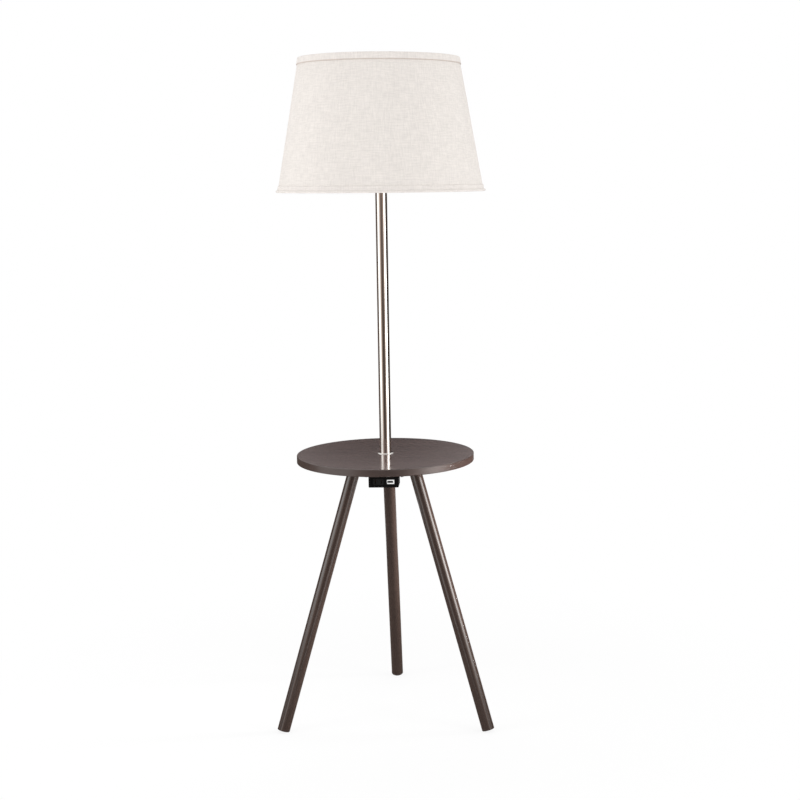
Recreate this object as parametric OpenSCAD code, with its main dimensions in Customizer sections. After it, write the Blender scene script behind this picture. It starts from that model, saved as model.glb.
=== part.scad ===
// Floor lamp with a round table: three splayed legs carry a wooden table top,
// a steel pole stands on the table and carries a tapered drum shade, and a
// small power outlet hangs under the table's front edge.
// Origin: on the floor, on the pole's axis. +Z is up and -Y is the front.

/* [Table] */
// Diameter of the table top, over its edge band
table_d = 396; // [340:2:480]
// Height of the table surface above the floor
table_h = 602; // [500:1:700]
// Thickness of the table top
table_t = 16; // [14:0.5:26]
// Thickness of the wood band around the table's edge
band_t = 1.6; // [0.8:0.1:3]
// Radius of the eased corners of the edge band
band_edge_r = 1.2; // [0.3:0.1:2]

/* [Legs] */
// Diameter of a leg
leg_d = 27.5; // [22:0.5:34]
// Angle of a leg from the vertical
leg_splay = 18; // [8:0.5:24]
// From the pole's axis to where a leg's axis meets the table's underside
leg_top_r = 72.5; // [64:0.5:110]
// Radius of the rounded edge at a leg's ends
leg_edge_r = 1.2; // [0.5:0.1:3]

/* [Leg plates] */
// Side length of a leg's mounting plate
plate_w = 58; // [52:1:70]
// Thickness of a mounting plate
plate_t = 2.5; // [1.5:0.1:4]
// Corner radius of a mounting plate
plate_r = 6; // [2:0.5:9]
// Diameter of the plate's slanted boss
boss_d = 20; // [14:0.5:22]
// Length of the boss along the leg's axis, from the table's underside
boss_l = 11; // [10:0.5:20]
// Diameter of the bolt that holds a leg
bolt_d = 8; // [5:0.5:10]
// Depth of the bolt in the leg
bolt_in_leg = 40; // [20:1:80]
// From the middle of a plate to its screws, along each side
plate_screw_x = 21; // [18:0.5:22]

/* [Wood screws] */
// Shank diameter of a wood screw
screw_d = 4; // [3:0.1:5]
// Length of a wood screw under its head
screw_l = 13; // [8:0.5:15]
// Diameter of a screw head
screw_head_d = 7.6; // [6:0.1:9]
// Height of a screw head
screw_head_h = 2.6; // [1.8:0.1:3.5]
// Width of the cross recess in a screw head
screw_cross_w = 1.1; // [0.6:0.1:1.6]
// Depth of the cross recess in a screw head
screw_cross_t = 1.4; // [0.6:0.1:1.6]
// Bevel under the rim of a screw head
screw_bevel = 1; // [0.4:0.1:1.4]
// Width of a screw's blunted point
screw_tip_d = 0.6; // [0.3:0.1:1.2]

/* [Pole] */
// Outer diameter of the pole
pole_d = 26; // [22:0.5:34]
// Wall of the pole
pole_wall = 1.2; // [0.8:0.1:2.5]
// Length of the pole
pole_l = 595; // [400:1:700]
// Diameter of the flange at the pole's foot
flange_d = 38; // [36:0.5:50]
// Thickness of the flange
flange_t = 2.75; // [1.5:0.05:5]
// Bevel on the flange's upper edge
flange_bevel = 0.75; // [0.3:0.05:1.2]
// Depth of the flange's seat in the table top
seat_t = 0.8; // [0.3:0.1:1.2]
// Length of the spigots that centre the pole
spigot_l = 8; // [4:0.5:15]
// Thickness of the cap on the pole
cap_t = 6; // [3:0.5:12]
// Depth of the cap's turned groove
cap_groove = 1; // [0.4:0.1:1.5]
// Width of the cap's turned groove
cap_groove_w = 1; // [0.5:0.1:1]
// Height of the groove above the pole's top
cap_groove_z = 2; // [0.5:0.1:2]

/* [Tie rod] */
// Diameter of the hollow threaded rod inside the pole
rod_d = 9.7; // [8:0.1:10]
// Bore of the threaded rod
rod_bore = 6.6; // [6:0.1:7]
// Diameter of the clamp washer under the table
washer_d = 46; // [30:1:60]
// Thickness of the clamp washer
washer_t = 2.5; // [1.5:0.1:4]
// Diameter of the lock washer
lock_d = 17; // [15:0.5:22]
// Thickness of the lock washer
lock_t = 1.5; // [0.8:0.1:2.5]
// Width across the flats of the rod's nut
nut_af = 15; // [13:0.5:20]
// Height of the rod's nut
nut_t = 5; // [4:0.5:8]
// Length of rod below the nut
rod_tail = 4; // [2:0.5:8]
// Diameter of the lamp wire inside the rod
wire_d = 5; // [4:0.1:5.4]
// Diameter of the bushing under the rod
bushing_d = 12; // [11:0.5:14]
// Thickness of the bushing's collar
bushing_t = 3; // [2:0.5:5]

/* [Socket] */
// Outer diameter of the socket's cap
socket_d = 34; // [33.6:0.1:38]
// Height of the socket above the saddle
socket_h = 58; // [54:0.5:70]
// Height of the socket's cap
socket_cap_h = 16; // [14:0.5:18]
// Sheet thickness of the socket's cap and shell
socket_wall = 0.8; // [0.5:0.1:0.8]
// Thickness of the insulating sleeve
sleeve_t = 0.5; // [0.3:0.1:0.5]
// Height of the threaded bushing in the socket's cap
socket_bush_h = 8; // [6:0.5:9]
// Height of the switch block above the cap's bushing
block_h = 23; // [22:0.5:26]
// Height of the switch's shaft above the cap's bushing
knob_rise = 10.35; // [8:0.05:12]
// Wall of the brass screw shell
screw_shell_t = 0.5; // [0.3:0.1:0.7]
// Height of the screw shell
screw_shell_h = 24; // [20:0.5:26]
// Diameter of the switch knob
knob_d = 13; // [10:0.5:18]
// Length of the switch knob
knob_l = 14; // [10:0.5:24]
// Distance between the socket and the switch knob
knob_gap = 2; // [1:0.5:5]
// Diameter of the switch's shaft
knob_shaft_d = 4; // [3:0.1:5]
// Length of the switch's shaft inside the switch block
knob_bore_l = 9; // [6:0.5:12]
// Number of flutes around the knob
flute_n = 10; // [6:1:12]
// Diameter of a flute
flute_d = 2.4; // [1.6:0.1:2.8]

/* [Bulb] */
// Diameter of the bulb's screw base
bulb_base_d = 26; // [25:0.1:26.2]
// Length of the bulb's screw base
bulb_base_l = 24; // [22:0.5:28]
// Diameter of the bulb's globe
bulb_d = 60; // [50:1:80]
// Length of the bulb's glass
bulb_l = 84; // [78:1:110]
// Wall of the bulb's glass
glass_t = 1; // [0.6:0.1:2]
// Wall of the bulb's screw base
base_wall = 1; // [0.5:0.1:2]
// Height of the insulated tip under the screw base
tip_t = 4; // [2.5:0.5:6]
// How far the glass stands out over its base
neck_out = 1; // [0.5:0.1:3]
// Angle below the globe's middle at which its neck begins
neck_angle = 26; // [20:1:40]

/* [Harp] */
// Height from the saddle to the shoulder that carries the shade
harp_h = 240; // [215:1:300]
// Width of the harp
harp_w = 108; // [96:1:130]
// Distance between the harp's feet
harp_foot_w = 56; // [54:1:64]
// Thickness of the harp's wire
harp_wire = 4; // [3:0.1:5]
// Angle at which the harp flares out
harp_flare = 20; // [15:1:30]
// Radius of the harp's lower bends
harp_bend_r = 30; // [20:1:40]
// Length of the straight wire above a foot of the harp
harp_straight = 30; // [28:1:38]
// Thickness of the saddle
saddle_t = 1.5; // [1:0.1:3]
// Width of the saddle's strip
saddle_w = 12; // [8:0.5:16]
// Height of the saddle's posts
post_h = 10; // [8:0.5:14]
// Outer diameter of a ferrule
ferrule_d = 8; // [6.5:0.1:9]
// Length of a ferrule
ferrule_l = 18; // [14:0.5:22]
// Diameter of the stud on the harp
stud_d = 6.4; // [5:0.1:7]
// Length of the stud above its shoulder
stud_l = 15; // [12:0.5:18]
// Diameter of the stud's shoulder
shoulder_d = 14; // [12:0.5:18]
// Thickness of the stud's shoulder
shoulder_t = 2.5; // [1.5:0.1:4]
// Diameter of the stud's base around the harp's wire
stud_base_d = 10; // [8:0.5:12]
// Thickness of the stud's base over the harp's wire
crimp_t = 1; // [0.6:0.1:3]

/* [Finial] */
// Diameter of the finial
finial_d = 15; // [12:0.5:22]
// Height of the finial
finial_h = 24; // [21:0.5:34]
// Thickness of the finial's foot
finial_foot_t = 3; // [2:0.5:5]
// Diameter of the finial's neck
finial_neck_d = 9.3; // [8.6:0.1:11]
// Diameter of the finial's ball
finial_ball_d = 13.5; // [12:0.5:18]

/* [Shade] */
// Diameter of the shade's fabric at the top
shade_top_d = 349; // [300:1:420]
// Diameter of the shade's fabric at the bottom
shade_bottom_d = 451; // [380:1:520]
// Height of the shade
shade_h = 289; // [220:1:340]
// From the arms of the shade's fitter to the shade's top edge
fitter_drop = 25; // [18:0.5:34]
// Thickness of the fabric
fabric_t = 0.8; // [0.5:0.1:1.5]
// Thickness of the stiff liner inside the fabric
liner_t = 0.5; // [0.3:0.1:1]
// Thickness of the trim tape
trim_t = 1.6; // [0.8:0.1:2.5]
// Height of the top trim
top_trim_h = 15.5; // [8:0.5:30]
// Height of the bottom trim
bottom_trim_h = 15; // [9:0.5:30]
// Diameter of the rolled lip on the bottom trim
lip_d = 5; // [4:0.1:7]
// How far the lip stands out from the fabric
lip_out = 4; // [3:0.1:4.5]
// Height of the lip over the bottom edge
lip_lift = 0.2; // [0.1:0.1:1.5]
// Thickness of the shade's wire rings
ring_wire = 3.6; // [3:0.1:5]
// Thickness of the fitter's arms
arm_wire = 3; // [2.4:0.1:4.4]
// Diameter of the fitter's hub
hub_d = 26; // [20:0.5:40]
// Thickness of the fitter's hub
hub_t = 2.5; // [2:0.1:4]
// Number of arms on the fitter
arm_n = 3; // [3:1:4]
// Slope of an arm where it rises to the ring
arm_rise = 60; // [45:1:75]
// Radius of the bend in an arm
arm_bend_r = 8; // [5:0.5:12]

/* [Power outlet] */
// Width of the power outlet
power_w = 64; // [62:0.5:90]
// Height of the power outlet
power_h = 24; // [23:0.5:34]
// Depth of the power outlet
power_d = 42; // [36:0.5:60]
// Middle of the power outlet, to the right of the pole
power_x = 9; // [-20:0.5:20]
// From the table's edge back to the face of the power outlet
power_back = 9; // [7:0.5:30]
// Wall of the outlet's housing
power_wall = 2; // [1.4:0.1:2.5]
// Thickness of the outlet's front cover
cover_t = 4; // [3:0.1:5]
// Width of the rim at the sides of the front cover
rim_w = 6; // [3:0.5:6.5]
// Width of the rim at the top and bottom of the front cover
rim_h = 4.5; // [3:0.5:4.5]
// Depth of the panel behind the rim
panel_t = 1.2; // [0.5:0.1:1.6]
// How far the plug insert and the data port stand out from the panel
insert_out = 0.4; // [0.1:0.1:1]
// How far the front cover reaches into the housing
cover_in = 2; // [1:0.1:3]
// Corner radius of the power outlet
power_r = 2; // [0.5:0.1:3]
// Width of the plug insert
plug_w = 22; // [20:0.5:24]
// Height of the plug insert
plug_h = 13; // [12:0.5:13.5]
// Depth of the plug insert
plug_t = 16; // [14:0.5:20]
// Middle of the plug insert, left of the outlet's middle
plug_x = 11; // [10:0.5:13]
// Distance between the two blade slots
slot_pitch = 12.7; // [12:0.1:13]
// Width of a blade slot
slot_w = 1.8; // [1.6:0.1:2.2]
// Height of the short blade slot
slot_h = 7; // [6.4:0.1:7.4]
// Height of the long blade slot
slot_long = 8.4; // [8:0.1:9]
// Depth of the blade slots
slot_depth = 11; // [9:0.5:12]
// Thickness of the contacts behind the slots
leaf_t = 0.4; // [0.3:0.1:0.6]
// Width of the data port's frame
port_w = 15.6; // [15.2:0.1:18]
// Height of the data port's frame
port_h = 9; // [8:0.1:12]
// Depth of the data port's frame
port_t = 8; // [6:0.5:10]
// Middle of the data port, right of the outlet's middle
port_x = 15; // [13:0.5:16]
// Width of the port's opening
port_hole_w = 12.2; // [12:0.1:12.6]
// Height of the port's opening
port_hole_h = 4.6; // [4.5:0.1:5.4]
// Wall of the port's frame on the left
port_left = 0.8; // [0.8:0.1:2]
// Thickness of the port's tongue
tongue_t = 1.8; // [1.2:0.1:1.8]
// Length of the port's tongue
tongue_l = 7; // [5:0.1:7]
// Thickness of the circuit board
board_t = 1.6; // [0.8:0.1:2]
// Width of an ear that holds the outlet to the table
ear_w = 12; // [10:0.5:18]
// Length of an ear
ear_l = 14; // [10:0.5:24]
// Thickness of an ear
ear_t = 3; // [2:0.5:5]
// Middle of the cord inlet, right of the outlet's middle
inlet_x = 11; // [9:0.5:18]
// Middle of the cord inlet above the outlet's middle
inlet_rise = 2; // [0:0.5:4]
// Diameter of the cord inlet's collar
inlet_d = 12; // [10.4:0.1:13.5]
// Thickness of the cord inlet's collar
inlet_t = 3; // [2:0.5:5]
// Bore of the cord inlet
inlet_bore = 6; // [4:0.1:6.6]

/* [Clearances] */
// Play between parts that move on each other, along the axis
play = 0.3; // [0.2:0.05:0.5]
// Radial clearance of a part that turns or slides on another
run_clear = 0.2; // [0.1:0.05:0.3]
// Radial clearance of a thread in its hole
thread_clear = 0.1; // [0.05:0.05:0.2]
// Clearance of a part that is set or glued in another
set_clear = 0.1; // [0.05:0.05:0.2]
// Radial clearance of a rod or bolt in a plain hole
bolt_clear = 0.3; // [0.2:0.05:0.5]

/* [Hidden] */
$fn = 72;

AZ_LEFT = 210;
AZ_RIGHT = 330;
AZ_BACK = 90;
LEG_AZ = [AZ_LEFT, AZ_RIGHT, AZ_BACK];

wood_dark = "#483c37";
wood_top = "#6b5f5c";
nickel = "#c6c2bd";
steel = "#8d8d8f";
brass = "#c2a35a";
linen = "#ece8e4";
black = "#151515";
white = "#f2f2f0";

// How far a cut runs past the face that it opens, and a joined piece into its neighbour
past = 1;
// How far a blind hole runs past the end of what is in it
hole_spare = 0.5;

// Welded wires: how far a run stays clear of the next bend, inside a bead this much thicker
weld_gap = 0.05;
weld_bead = 1.02;

// Table
under_z = table_h - table_t;
band_round = min(band_edge_r, band_t - 0.1);

// Legs: the axis runs from the underside down and outward
leg_r = leg_d / 2;
foot_z = leg_edge_r + (leg_r - leg_edge_r) * sin(leg_splay) - leg_edge_r * cos(leg_splay);
leg_end = (under_z - foot_z) / cos(leg_splay);
bolt_start = (bolt_d / 2 * sin(leg_splay) + play) / cos(leg_splay);

// Pole and tie rod
seat_z = table_h - seat_t;
pole_z0 = seat_z + flange_t;
pole_z1 = pole_z0 + pole_l;
cap_z1 = pole_z1 + cap_t;
saddle_z = cap_z1 + saddle_t;
spigot_d = pole_d - 2 * pole_wall - 2 * set_clear;
rod_hole_d = rod_d + 2 * bolt_clear;
lock_z = under_z - washer_t;
nut_z = lock_z - lock_t;
rod_z0 = nut_z - nut_t - rod_tail;
bushing_z0 = rod_z0 - bushing_t;

// Socket
cap_floor_t = 1.2;
bush_wall = 3;
bush_top = saddle_z + socket_bush_h;
rod_z1 = bush_top - hole_spare;
shell_r = socket_d / 2 - socket_wall - set_clear;
sleeve_r = shell_r - socket_wall - set_clear;
block_r = sleeve_r - sleeve_t - set_clear;
block_z1 = bush_top + block_h;
screw_shell_bore = bulb_base_d + 2 * run_clear;
screw_shell_r = screw_shell_bore / 2 + screw_shell_t;
contact_t = 2.5;
contact_d = 6;
knob_z = bush_top + knob_rise;
knob_y0 = socket_d / 2 + knob_gap;
knob_bevel = 1;
flute_out = 0.6;
flute_start = 3;
shaft_gap = 1;
sleeve_short = 1;

// Bulb
neck_in = 1.2;
bulb_z0 = block_z1 + contact_t + play;
glass_z0 = bulb_z0 + bulb_base_l;
globe_z = glass_z0 + bulb_l - bulb_d / 2;

// Harp
foot_x = harp_foot_w / 2;
top_x = harp_w / 2;
harp_z0 = saddle_z + post_h;
shoulder_z = saddle_z + harp_h;
wire_drop = shoulder_t + crimp_t + harp_wire / 2;
harp_top_z = shoulder_z - wire_drop;
flare_l = (top_x - foot_x - 2 * harp_bend_r * (1 - cos(harp_flare))) / sin(harp_flare);
bend1_z = harp_z0 + harp_straight;
flare_z0 = bend1_z + harp_bend_r * sin(harp_flare);
flare_x0 = foot_x + harp_bend_r * (1 - cos(harp_flare));
flare_z1 = flare_z0 + flare_l * cos(harp_flare);
flare_x1 = flare_x0 + flare_l * sin(harp_flare);
bend2_z = flare_z1 + harp_bend_r * sin(harp_flare);

// Shade
hub_z0 = shoulder_z + play;
hub_z1 = hub_z0 + hub_t;
arm_z = hub_z0 + hub_t / 2;
shade_z1 = arm_z + fitter_drop;
shade_z0 = shade_z1 - shade_h;
shade_slant = atan((shade_bottom_d - shade_top_d) / 2 / shade_h);
function shade_r(z) =
    shade_bottom_d / 2 - (z - shade_z0) * (shade_bottom_d - shade_top_d) / 2 / shade_h;
fabric_z0 = shade_z0 + trim_t + set_clear;
fabric_z1 = shade_z1 - trim_t - set_clear;
lining_depth = fabric_t + set_clear;
ring_inset = lining_depth + liner_t + set_clear + ring_wire / 2 / cos(shade_slant);
top_ring_z = fabric_z1 - ring_wire / 2;
top_ring_r = shade_r(top_ring_z) - ring_inset;
low_ring_z = fabric_z0 + ring_wire / 2;
low_ring_r = shade_r(low_ring_z) - ring_inset;
arm_end_l = (top_ring_z - arm_z - arm_bend_r * (1 - cos(arm_rise))) / sin(arm_rise);
arm_l = top_ring_r - arm_bend_r * sin(arm_rise) - arm_end_l * cos(arm_rise);
arm_end_x = arm_l + arm_bend_r * sin(arm_rise);
arm_end_z = arm_z + arm_bend_r * (1 - cos(arm_rise));

// Finial
finial_z0 = hub_z1 + play;
finial_bore_l = shoulder_z + stud_l + hole_spare - finial_z0;

// Power outlet
power_y0 = -(table_d / 2 - power_back);
power_y1 = power_y0 + power_d;
housing_y0 = power_y0 + cover_t;
power_z0 = under_z - power_h;
panel_h = power_h - 2 * rim_h;
panel_w = power_w - 2 * rim_w;
face_z = power_z0 + power_h / 2;
panel_y = power_y0 + panel_t;
insert_y = panel_y - insert_out;
plug_cx = power_x - plug_x;
port_cx = power_x + port_x;
port_hole_x = port_cx - port_w / 2 + port_left;
cover_lip = 1;
window_r = 1;
lip_r = 0.3;
pocket_y = 2.5;
pocket_side = 1.2;
pocket_rise = 0.5;
contact_y = 4;
port_base_t = 4;
port_base_y = insert_y + port_t;
port_gap = 0.2;
tongue_side = 1;
board_z0 = face_z - port_hole_h / 2 - board_t - port_gap;
board_w = port_w;
board_gap = 1;
board_l = power_y1 - power_wall - port_base_y - board_gap;
shelf_w = 3;
ear_y = (housing_y0 + power_y1) / 2;
ear_x = power_w / 2 + ear_w / 2;
inlet_wall = 1.5;
inlet_cx = power_x + inlet_x;
inlet_z = face_z + inlet_rise;
inlet_spigot_d = inlet_bore + 2 * inlet_wall;

// A tube or disc between two heights
module ring(outer_d, inner_d, z0, z1) {
    translate([0, 0, z0]) difference() {
        cylinder(d = outer_d, h = z1 - z0);
        translate([0, 0, -past]) cylinder(d = inner_d, h = z1 - z0 + 2 * past);
    }
}

// A rectangle with round corners
module round_rect(w, h, r) {
    union() {
        square([w - 2 * r, h], center = true);
        square([w, h - 2 * r], center = true);
        for (x = [-1, 1], y = [-1, 1])
            translate([x * (w / 2 - r), y * (h / 2 - r)]) circle(r);
    }
}

// A straight piece of wire from a point in the XZ plane, at an angle from the vertical,
// a little short at both ends, which lie inside the beads that weld it on
module wire_run(x, z, angle, l, d) {
    translate([x, 0, z]) rotate([0, angle, 0]) translate([0, 0, weld_gap])
        cylinder(d = d, h = l - 2 * weld_gap);
}

// The bead that welds two pieces of wire at a point in the XZ plane
module weld(x, z, d) {
    translate([x, 0, z]) sphere(d = d * weld_bead);
}

// A bent piece of wire in the XZ plane, around a centre
module wire_bend(x, z, start, sweep, r, d) {
    translate([x, 0, z]) rotate([90, 0, 0]) rotate([0, 0, start])
        rotate_extrude(angle = sweep) translate([r, 0]) circle(d = d);
}

// The outline of a wall that runs out from the axis, with eased outer corners
module eased_wall(r0, r1, h, ease) {
    intersection() {
        translate([r0, 0]) square([r1 - r0, h]);
        union() {
            square([r1 - ease, h]);
            translate([0, ease]) square([r1, h - 2 * ease]);
            for (y = [ease, h - ease]) translate([r1 - ease, y]) circle(ease);
        }
    }
}

// Places its children on a leg's axis, with their +Z down along the leg
module on_leg(az) {
    rotate([0, 0, az]) translate([leg_top_r, 0, under_z]) rotate([0, 180 - leg_splay, 0])
        children();
}

// Places its children under the four corners of a leg's plate
module at_plate_screws(az) {
    rotate([0, 0, az]) for (x = [-1, 1], y = [-1, 1])
        translate([leg_top_r + x * plate_screw_x, y * plate_screw_x, under_z - plate_t])
            children();
}

// Places its children under the ears of the power outlet
module at_ears() {
    for (x = [-1, 1]) translate([power_x + x * ear_x, ear_y, under_z - ear_t]) children();
}

// A pan-head wood screw that points up from the origin, with its head below
module wood_screw() {
    difference() {
        union() {
            cylinder(d = screw_d, h = screw_l - screw_d / 2);
            translate([0, 0, screw_l - screw_d / 2])
                cylinder(d1 = screw_d, d2 = screw_tip_d, h = screw_d / 2);
            translate([0, 0, -screw_head_h])
                cylinder(d1 = screw_head_d - 2 * screw_bevel, d2 = screw_head_d, h = screw_bevel);
            translate([0, 0, screw_bevel - screw_head_h])
                cylinder(d = screw_head_d, h = screw_head_h - screw_bevel);
        }
        for (a = [0, 90]) rotate([0, 0, a])
            translate([-screw_head_d / 4, -screw_cross_w / 2, -screw_head_h - past])
                cube([screw_head_d / 2, screw_cross_w, screw_cross_t + past]);
    }
}

// The hole of a wood screw in the table
module screw_hole() {
    cylinder(d = screw_d + 2 * thread_clear, h = screw_l + hole_spare);
}

module table_top() {
    color(wood_top) difference() {
        translate([0, 0, under_z]) cylinder(d = table_d - 2 * band_t, h = table_t);
        translate([0, 0, seat_z]) cylinder(d = flange_d + 2 * bolt_clear, h = table_t);
        translate([0, 0, under_z - past]) cylinder(d = rod_hole_d, h = table_t + 2 * past);
        for (az = LEG_AZ) at_plate_screws(az) screw_hole();
        at_ears() screw_hole();
    }
}

module table_band() {
    color(wood_dark) translate([0, 0, under_z]) rotate_extrude()
        eased_wall(table_d / 2 - band_t, table_d / 2, table_t, band_round);
}

// A round leg with eased ends, cut square, standing on the inner edge of its foot
module leg(az) {
    l = leg_end - boss_l;
    color(wood_dark) on_leg(az) difference() {
        translate([0, 0, boss_l]) rotate_extrude() eased_wall(0, leg_r, l, leg_edge_r);
        cylinder(d = bolt_d + 2 * thread_clear, h = boss_l + bolt_in_leg + hole_spare);
    }
}

// A screwed-on plate with a slanted boss for the leg's bolt
module leg_plate(az) {
    color(steel) difference() {
        union() {
            rotate([0, 0, az]) translate([leg_top_r, 0, under_z - plate_t])
                linear_extrude(plate_t) round_rect(plate_w, plate_w, plate_r);
            intersection() {
                on_leg(az) translate([0, 0, -boss_d]) cylinder(d = boss_d, h = boss_l + boss_d);
                translate([0, 0, under_z - 2 * boss_l])
                    cylinder(r = leg_top_r + plate_w, h = 2 * boss_l - plate_t / 2);
            }
        }
        on_leg(az) translate([0, 0, -boss_d])
            cylinder(d = bolt_d + 2 * thread_clear, h = boss_l + boss_d + past);
        at_plate_screws(az) translate([0, 0, -past])
            cylinder(d = screw_d + 2 * bolt_clear, h = plate_t + 2 * past);
    }
}

module leg_bolts() {
    color(steel) for (az = LEG_AZ) on_leg(az) translate([0, 0, bolt_start])
        cylinder(d = bolt_d, h = boss_l + bolt_in_leg - bolt_start);
}

module plate_screws() {
    color(steel) for (az = LEG_AZ) at_plate_screws(az) wood_screw();
}

module pole_flange() {
    color(nickel) difference() {
        union() {
            translate([0, 0, seat_z]) cylinder(d = flange_d, h = flange_t - flange_bevel);
            translate([0, 0, pole_z0 - flange_bevel])
                cylinder(d1 = flange_d, d2 = flange_d - 2 * flange_bevel, h = flange_bevel);
            translate([0, 0, seat_z]) cylinder(d = spigot_d, h = flange_t + spigot_l);
        }
        translate([0, 0, seat_z - past])
            cylinder(d = rod_hole_d, h = flange_t + spigot_l + 2 * past);
    }
}

module pole() {
    color(nickel) ring(pole_d, pole_d - 2 * pole_wall, pole_z0, pole_z1);
}

module pole_cap() {
    color(nickel) difference() {
        union() {
            translate([0, 0, pole_z1]) cylinder(d = pole_d, h = cap_t);
            translate([0, 0, pole_z1 - spigot_l]) cylinder(d = spigot_d, h = spigot_l + past);
        }
        translate([0, 0, pole_z1 - spigot_l - past])
            cylinder(d = rod_hole_d, h = spigot_l + cap_t + 2 * past);
        ring(pole_d + 2 * past, pole_d - 2 * cap_groove, pole_z1 + cap_groove_z,
            pole_z1 + cap_groove_z + cap_groove_w);
    }
}

module tie_rod() {
    color(steel) ring(rod_d, rod_bore, rod_z0, rod_z1);
}

module clamp_washer() {
    color(steel) ring(washer_d, rod_hole_d, lock_z, under_z);
}

module lock_washer() {
    color(steel) ring(lock_d, rod_d + 2 * thread_clear, nut_z, lock_z);
}

module tie_nut() {
    color(steel) translate([0, 0, nut_z - nut_t]) difference() {
        cylinder(d = nut_af / cos(30), h = nut_t, $fn = 6);
        translate([0, 0, -past]) cylinder(d = rod_d + 2 * thread_clear, h = nut_t + 2 * past);
    }
}

module rod_bushing() {
    color(black) {
        ring(bushing_d, wire_d + 2 * set_clear, bushing_z0, rod_z0);
        ring(rod_bore - 2 * set_clear, wire_d + 2 * set_clear, rod_z0, rod_z0 + bushing_t);
    }
}

module lamp_wire() {
    color(white) translate([0, 0, bushing_z0]) cylinder(d = wire_d, h = bush_top - bushing_z0);
}

// The bracket under the socket, with a post for each foot of the harp
module saddle() {
    color(brass) difference() {
        translate([0, 0, cap_z1]) {
            linear_extrude(saddle_t) union() {
                square([harp_foot_w, saddle_w], center = true);
                circle(d = pole_d - 2 * saddle_t);
                for (x = [-1, 1]) translate([x * foot_x, 0]) circle(d = saddle_w);
            }
            for (x = [-1, 1]) translate([x * foot_x, 0, 0])
                cylinder(d = harp_wire, h = saddle_t + post_h);
        }
        translate([0, 0, cap_z1 - past]) cylinder(d = rod_hole_d, h = saddle_t + 2 * past);
    }
}

module socket_cap() {
    color(brass) translate([0, 0, saddle_z]) difference() {
        cylinder(d = socket_d, h = socket_cap_h);
        difference() {
            translate([0, 0, cap_floor_t])
                cylinder(d = socket_d - 2 * socket_wall, h = socket_cap_h);
            cylinder(d = rod_d + 2 * bush_wall, h = socket_bush_h);
        }
        translate([0, 0, -past])
            cylinder(d = rod_d + 2 * thread_clear, h = socket_bush_h + 2 * past);
    }
}

// The hole through which the switch's shaft leaves the socket, toward the front
module shaft_hole(clear) {
    translate([0, 0, knob_z]) rotate([90, 0, 0])
        cylinder(d = knob_shaft_d + 2 * clear, h = socket_d);
}

module socket_shell() {
    color(brass) difference() {
        ring(2 * shell_r, 2 * (shell_r - socket_wall), saddle_z + cap_floor_t, saddle_z + socket_h);
        shaft_hole(2 * shaft_gap);
    }
}

module socket_sleeve() {
    color("#b9a98a") difference() {
        ring(2 * sleeve_r, 2 * (sleeve_r - sleeve_t), saddle_z + cap_floor_t,
            saddle_z + socket_h - sleeve_short);
        shaft_hole(shaft_gap);
    }
}

module switch_block() {
    color(black) difference() {
        translate([0, 0, bush_top]) cylinder(r = block_r, h = block_h);
        intersection() {
            shaft_hole(run_clear);
            translate([-block_r, -2 * block_r, bush_top])
                cube([2 * block_r, block_r + knob_bore_l, block_h]);
        }
    }
}

module screw_shell() {
    color(brass) ring(2 * screw_shell_r, screw_shell_bore, block_z1, block_z1 + screw_shell_h);
}

module center_contact() {
    color(brass) translate([0, 0, block_z1]) cylinder(d = contact_d, h = contact_t);
}

// A fluted knob on its shaft, which turns in the switch block
module switch_knob() {
    color(black) translate([0, 0, knob_z]) rotate([90, 0, 0]) difference() {
        union() {
            translate([0, 0, block_r - knob_bore_l + play])
                cylinder(d = knob_shaft_d, h = knob_y0 - block_r + knob_bore_l);
            translate([0, 0, knob_y0]) cylinder(d = knob_d, h = knob_l - knob_bevel);
            translate([0, 0, knob_y0 + knob_l - knob_bevel])
                cylinder(d1 = knob_d, d2 = knob_d - 2 * knob_bevel, h = knob_bevel);
        }
        for (i = [0 : flute_n - 1]) rotate([0, 0, i * 360 / flute_n])
            translate([knob_d / 2 + flute_out, 0, knob_y0 + flute_start])
                cylinder(d = flute_d, h = knob_l);
    }
}

module bulb_base() {
    color(nickel) {
        translate([0, 0, bulb_z0]) cylinder(d1 = contact_d, d2 = bulb_base_d, h = tip_t);
        ring(bulb_base_d, bulb_base_d - 2 * base_wall, bulb_z0 + tip_t, glass_z0);
    }
}

// The solid form of the globe and its neck, drawn in by a wall
module globe(inset) {
    translate([0, 0, globe_z]) sphere(d = bulb_d - 2 * inset);
    translate([0, 0, glass_z0])
        cylinder(d1 = bulb_base_d + 2 * neck_out - 2 * inset,
            d2 = bulb_d * cos(neck_angle) - 2 * neck_in - 2 * inset,
            h = globe_z - glass_z0 - bulb_d / 2 * sin(neck_angle));
}

module bulb_glass() {
    color(white) difference() {
        globe(0);
        globe(glass_t);
        translate([0, 0, glass_z0 - past]) cylinder(d = bulb_base_d - 2 * glass_t, h = 2 * past);
    }
}

// One side of the harp, from its foot up to its top arch
module harp_side() {
    translate([foot_x, 0, harp_z0]) cylinder(d = harp_wire, h = harp_straight - weld_gap);
    weld(foot_x, bend1_z, harp_wire);
    wire_bend(foot_x + harp_bend_r, bend1_z, 180 - harp_flare, harp_flare, harp_bend_r, harp_wire);
    weld(flare_x0, flare_z0, harp_wire);
    wire_run(flare_x0, flare_z0, harp_flare, flare_l, harp_wire);
    weld(flare_x1, flare_z1, harp_wire);
    wire_bend(top_x - harp_bend_r, bend2_z, -harp_flare, harp_flare, harp_bend_r, harp_wire);
    weld(top_x, bend2_z, harp_wire);
    wire_run(top_x, bend2_z, 0, harp_top_z - top_x - bend2_z, harp_wire);
    weld(top_x, harp_top_z - top_x, harp_wire);
}

module harp() {
    color(nickel) union() {
        harp_side();
        mirror([1, 0, 0]) harp_side();
        wire_bend(0, harp_top_z - top_x, 0, 180, top_x, harp_wire);
    }
}

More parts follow.
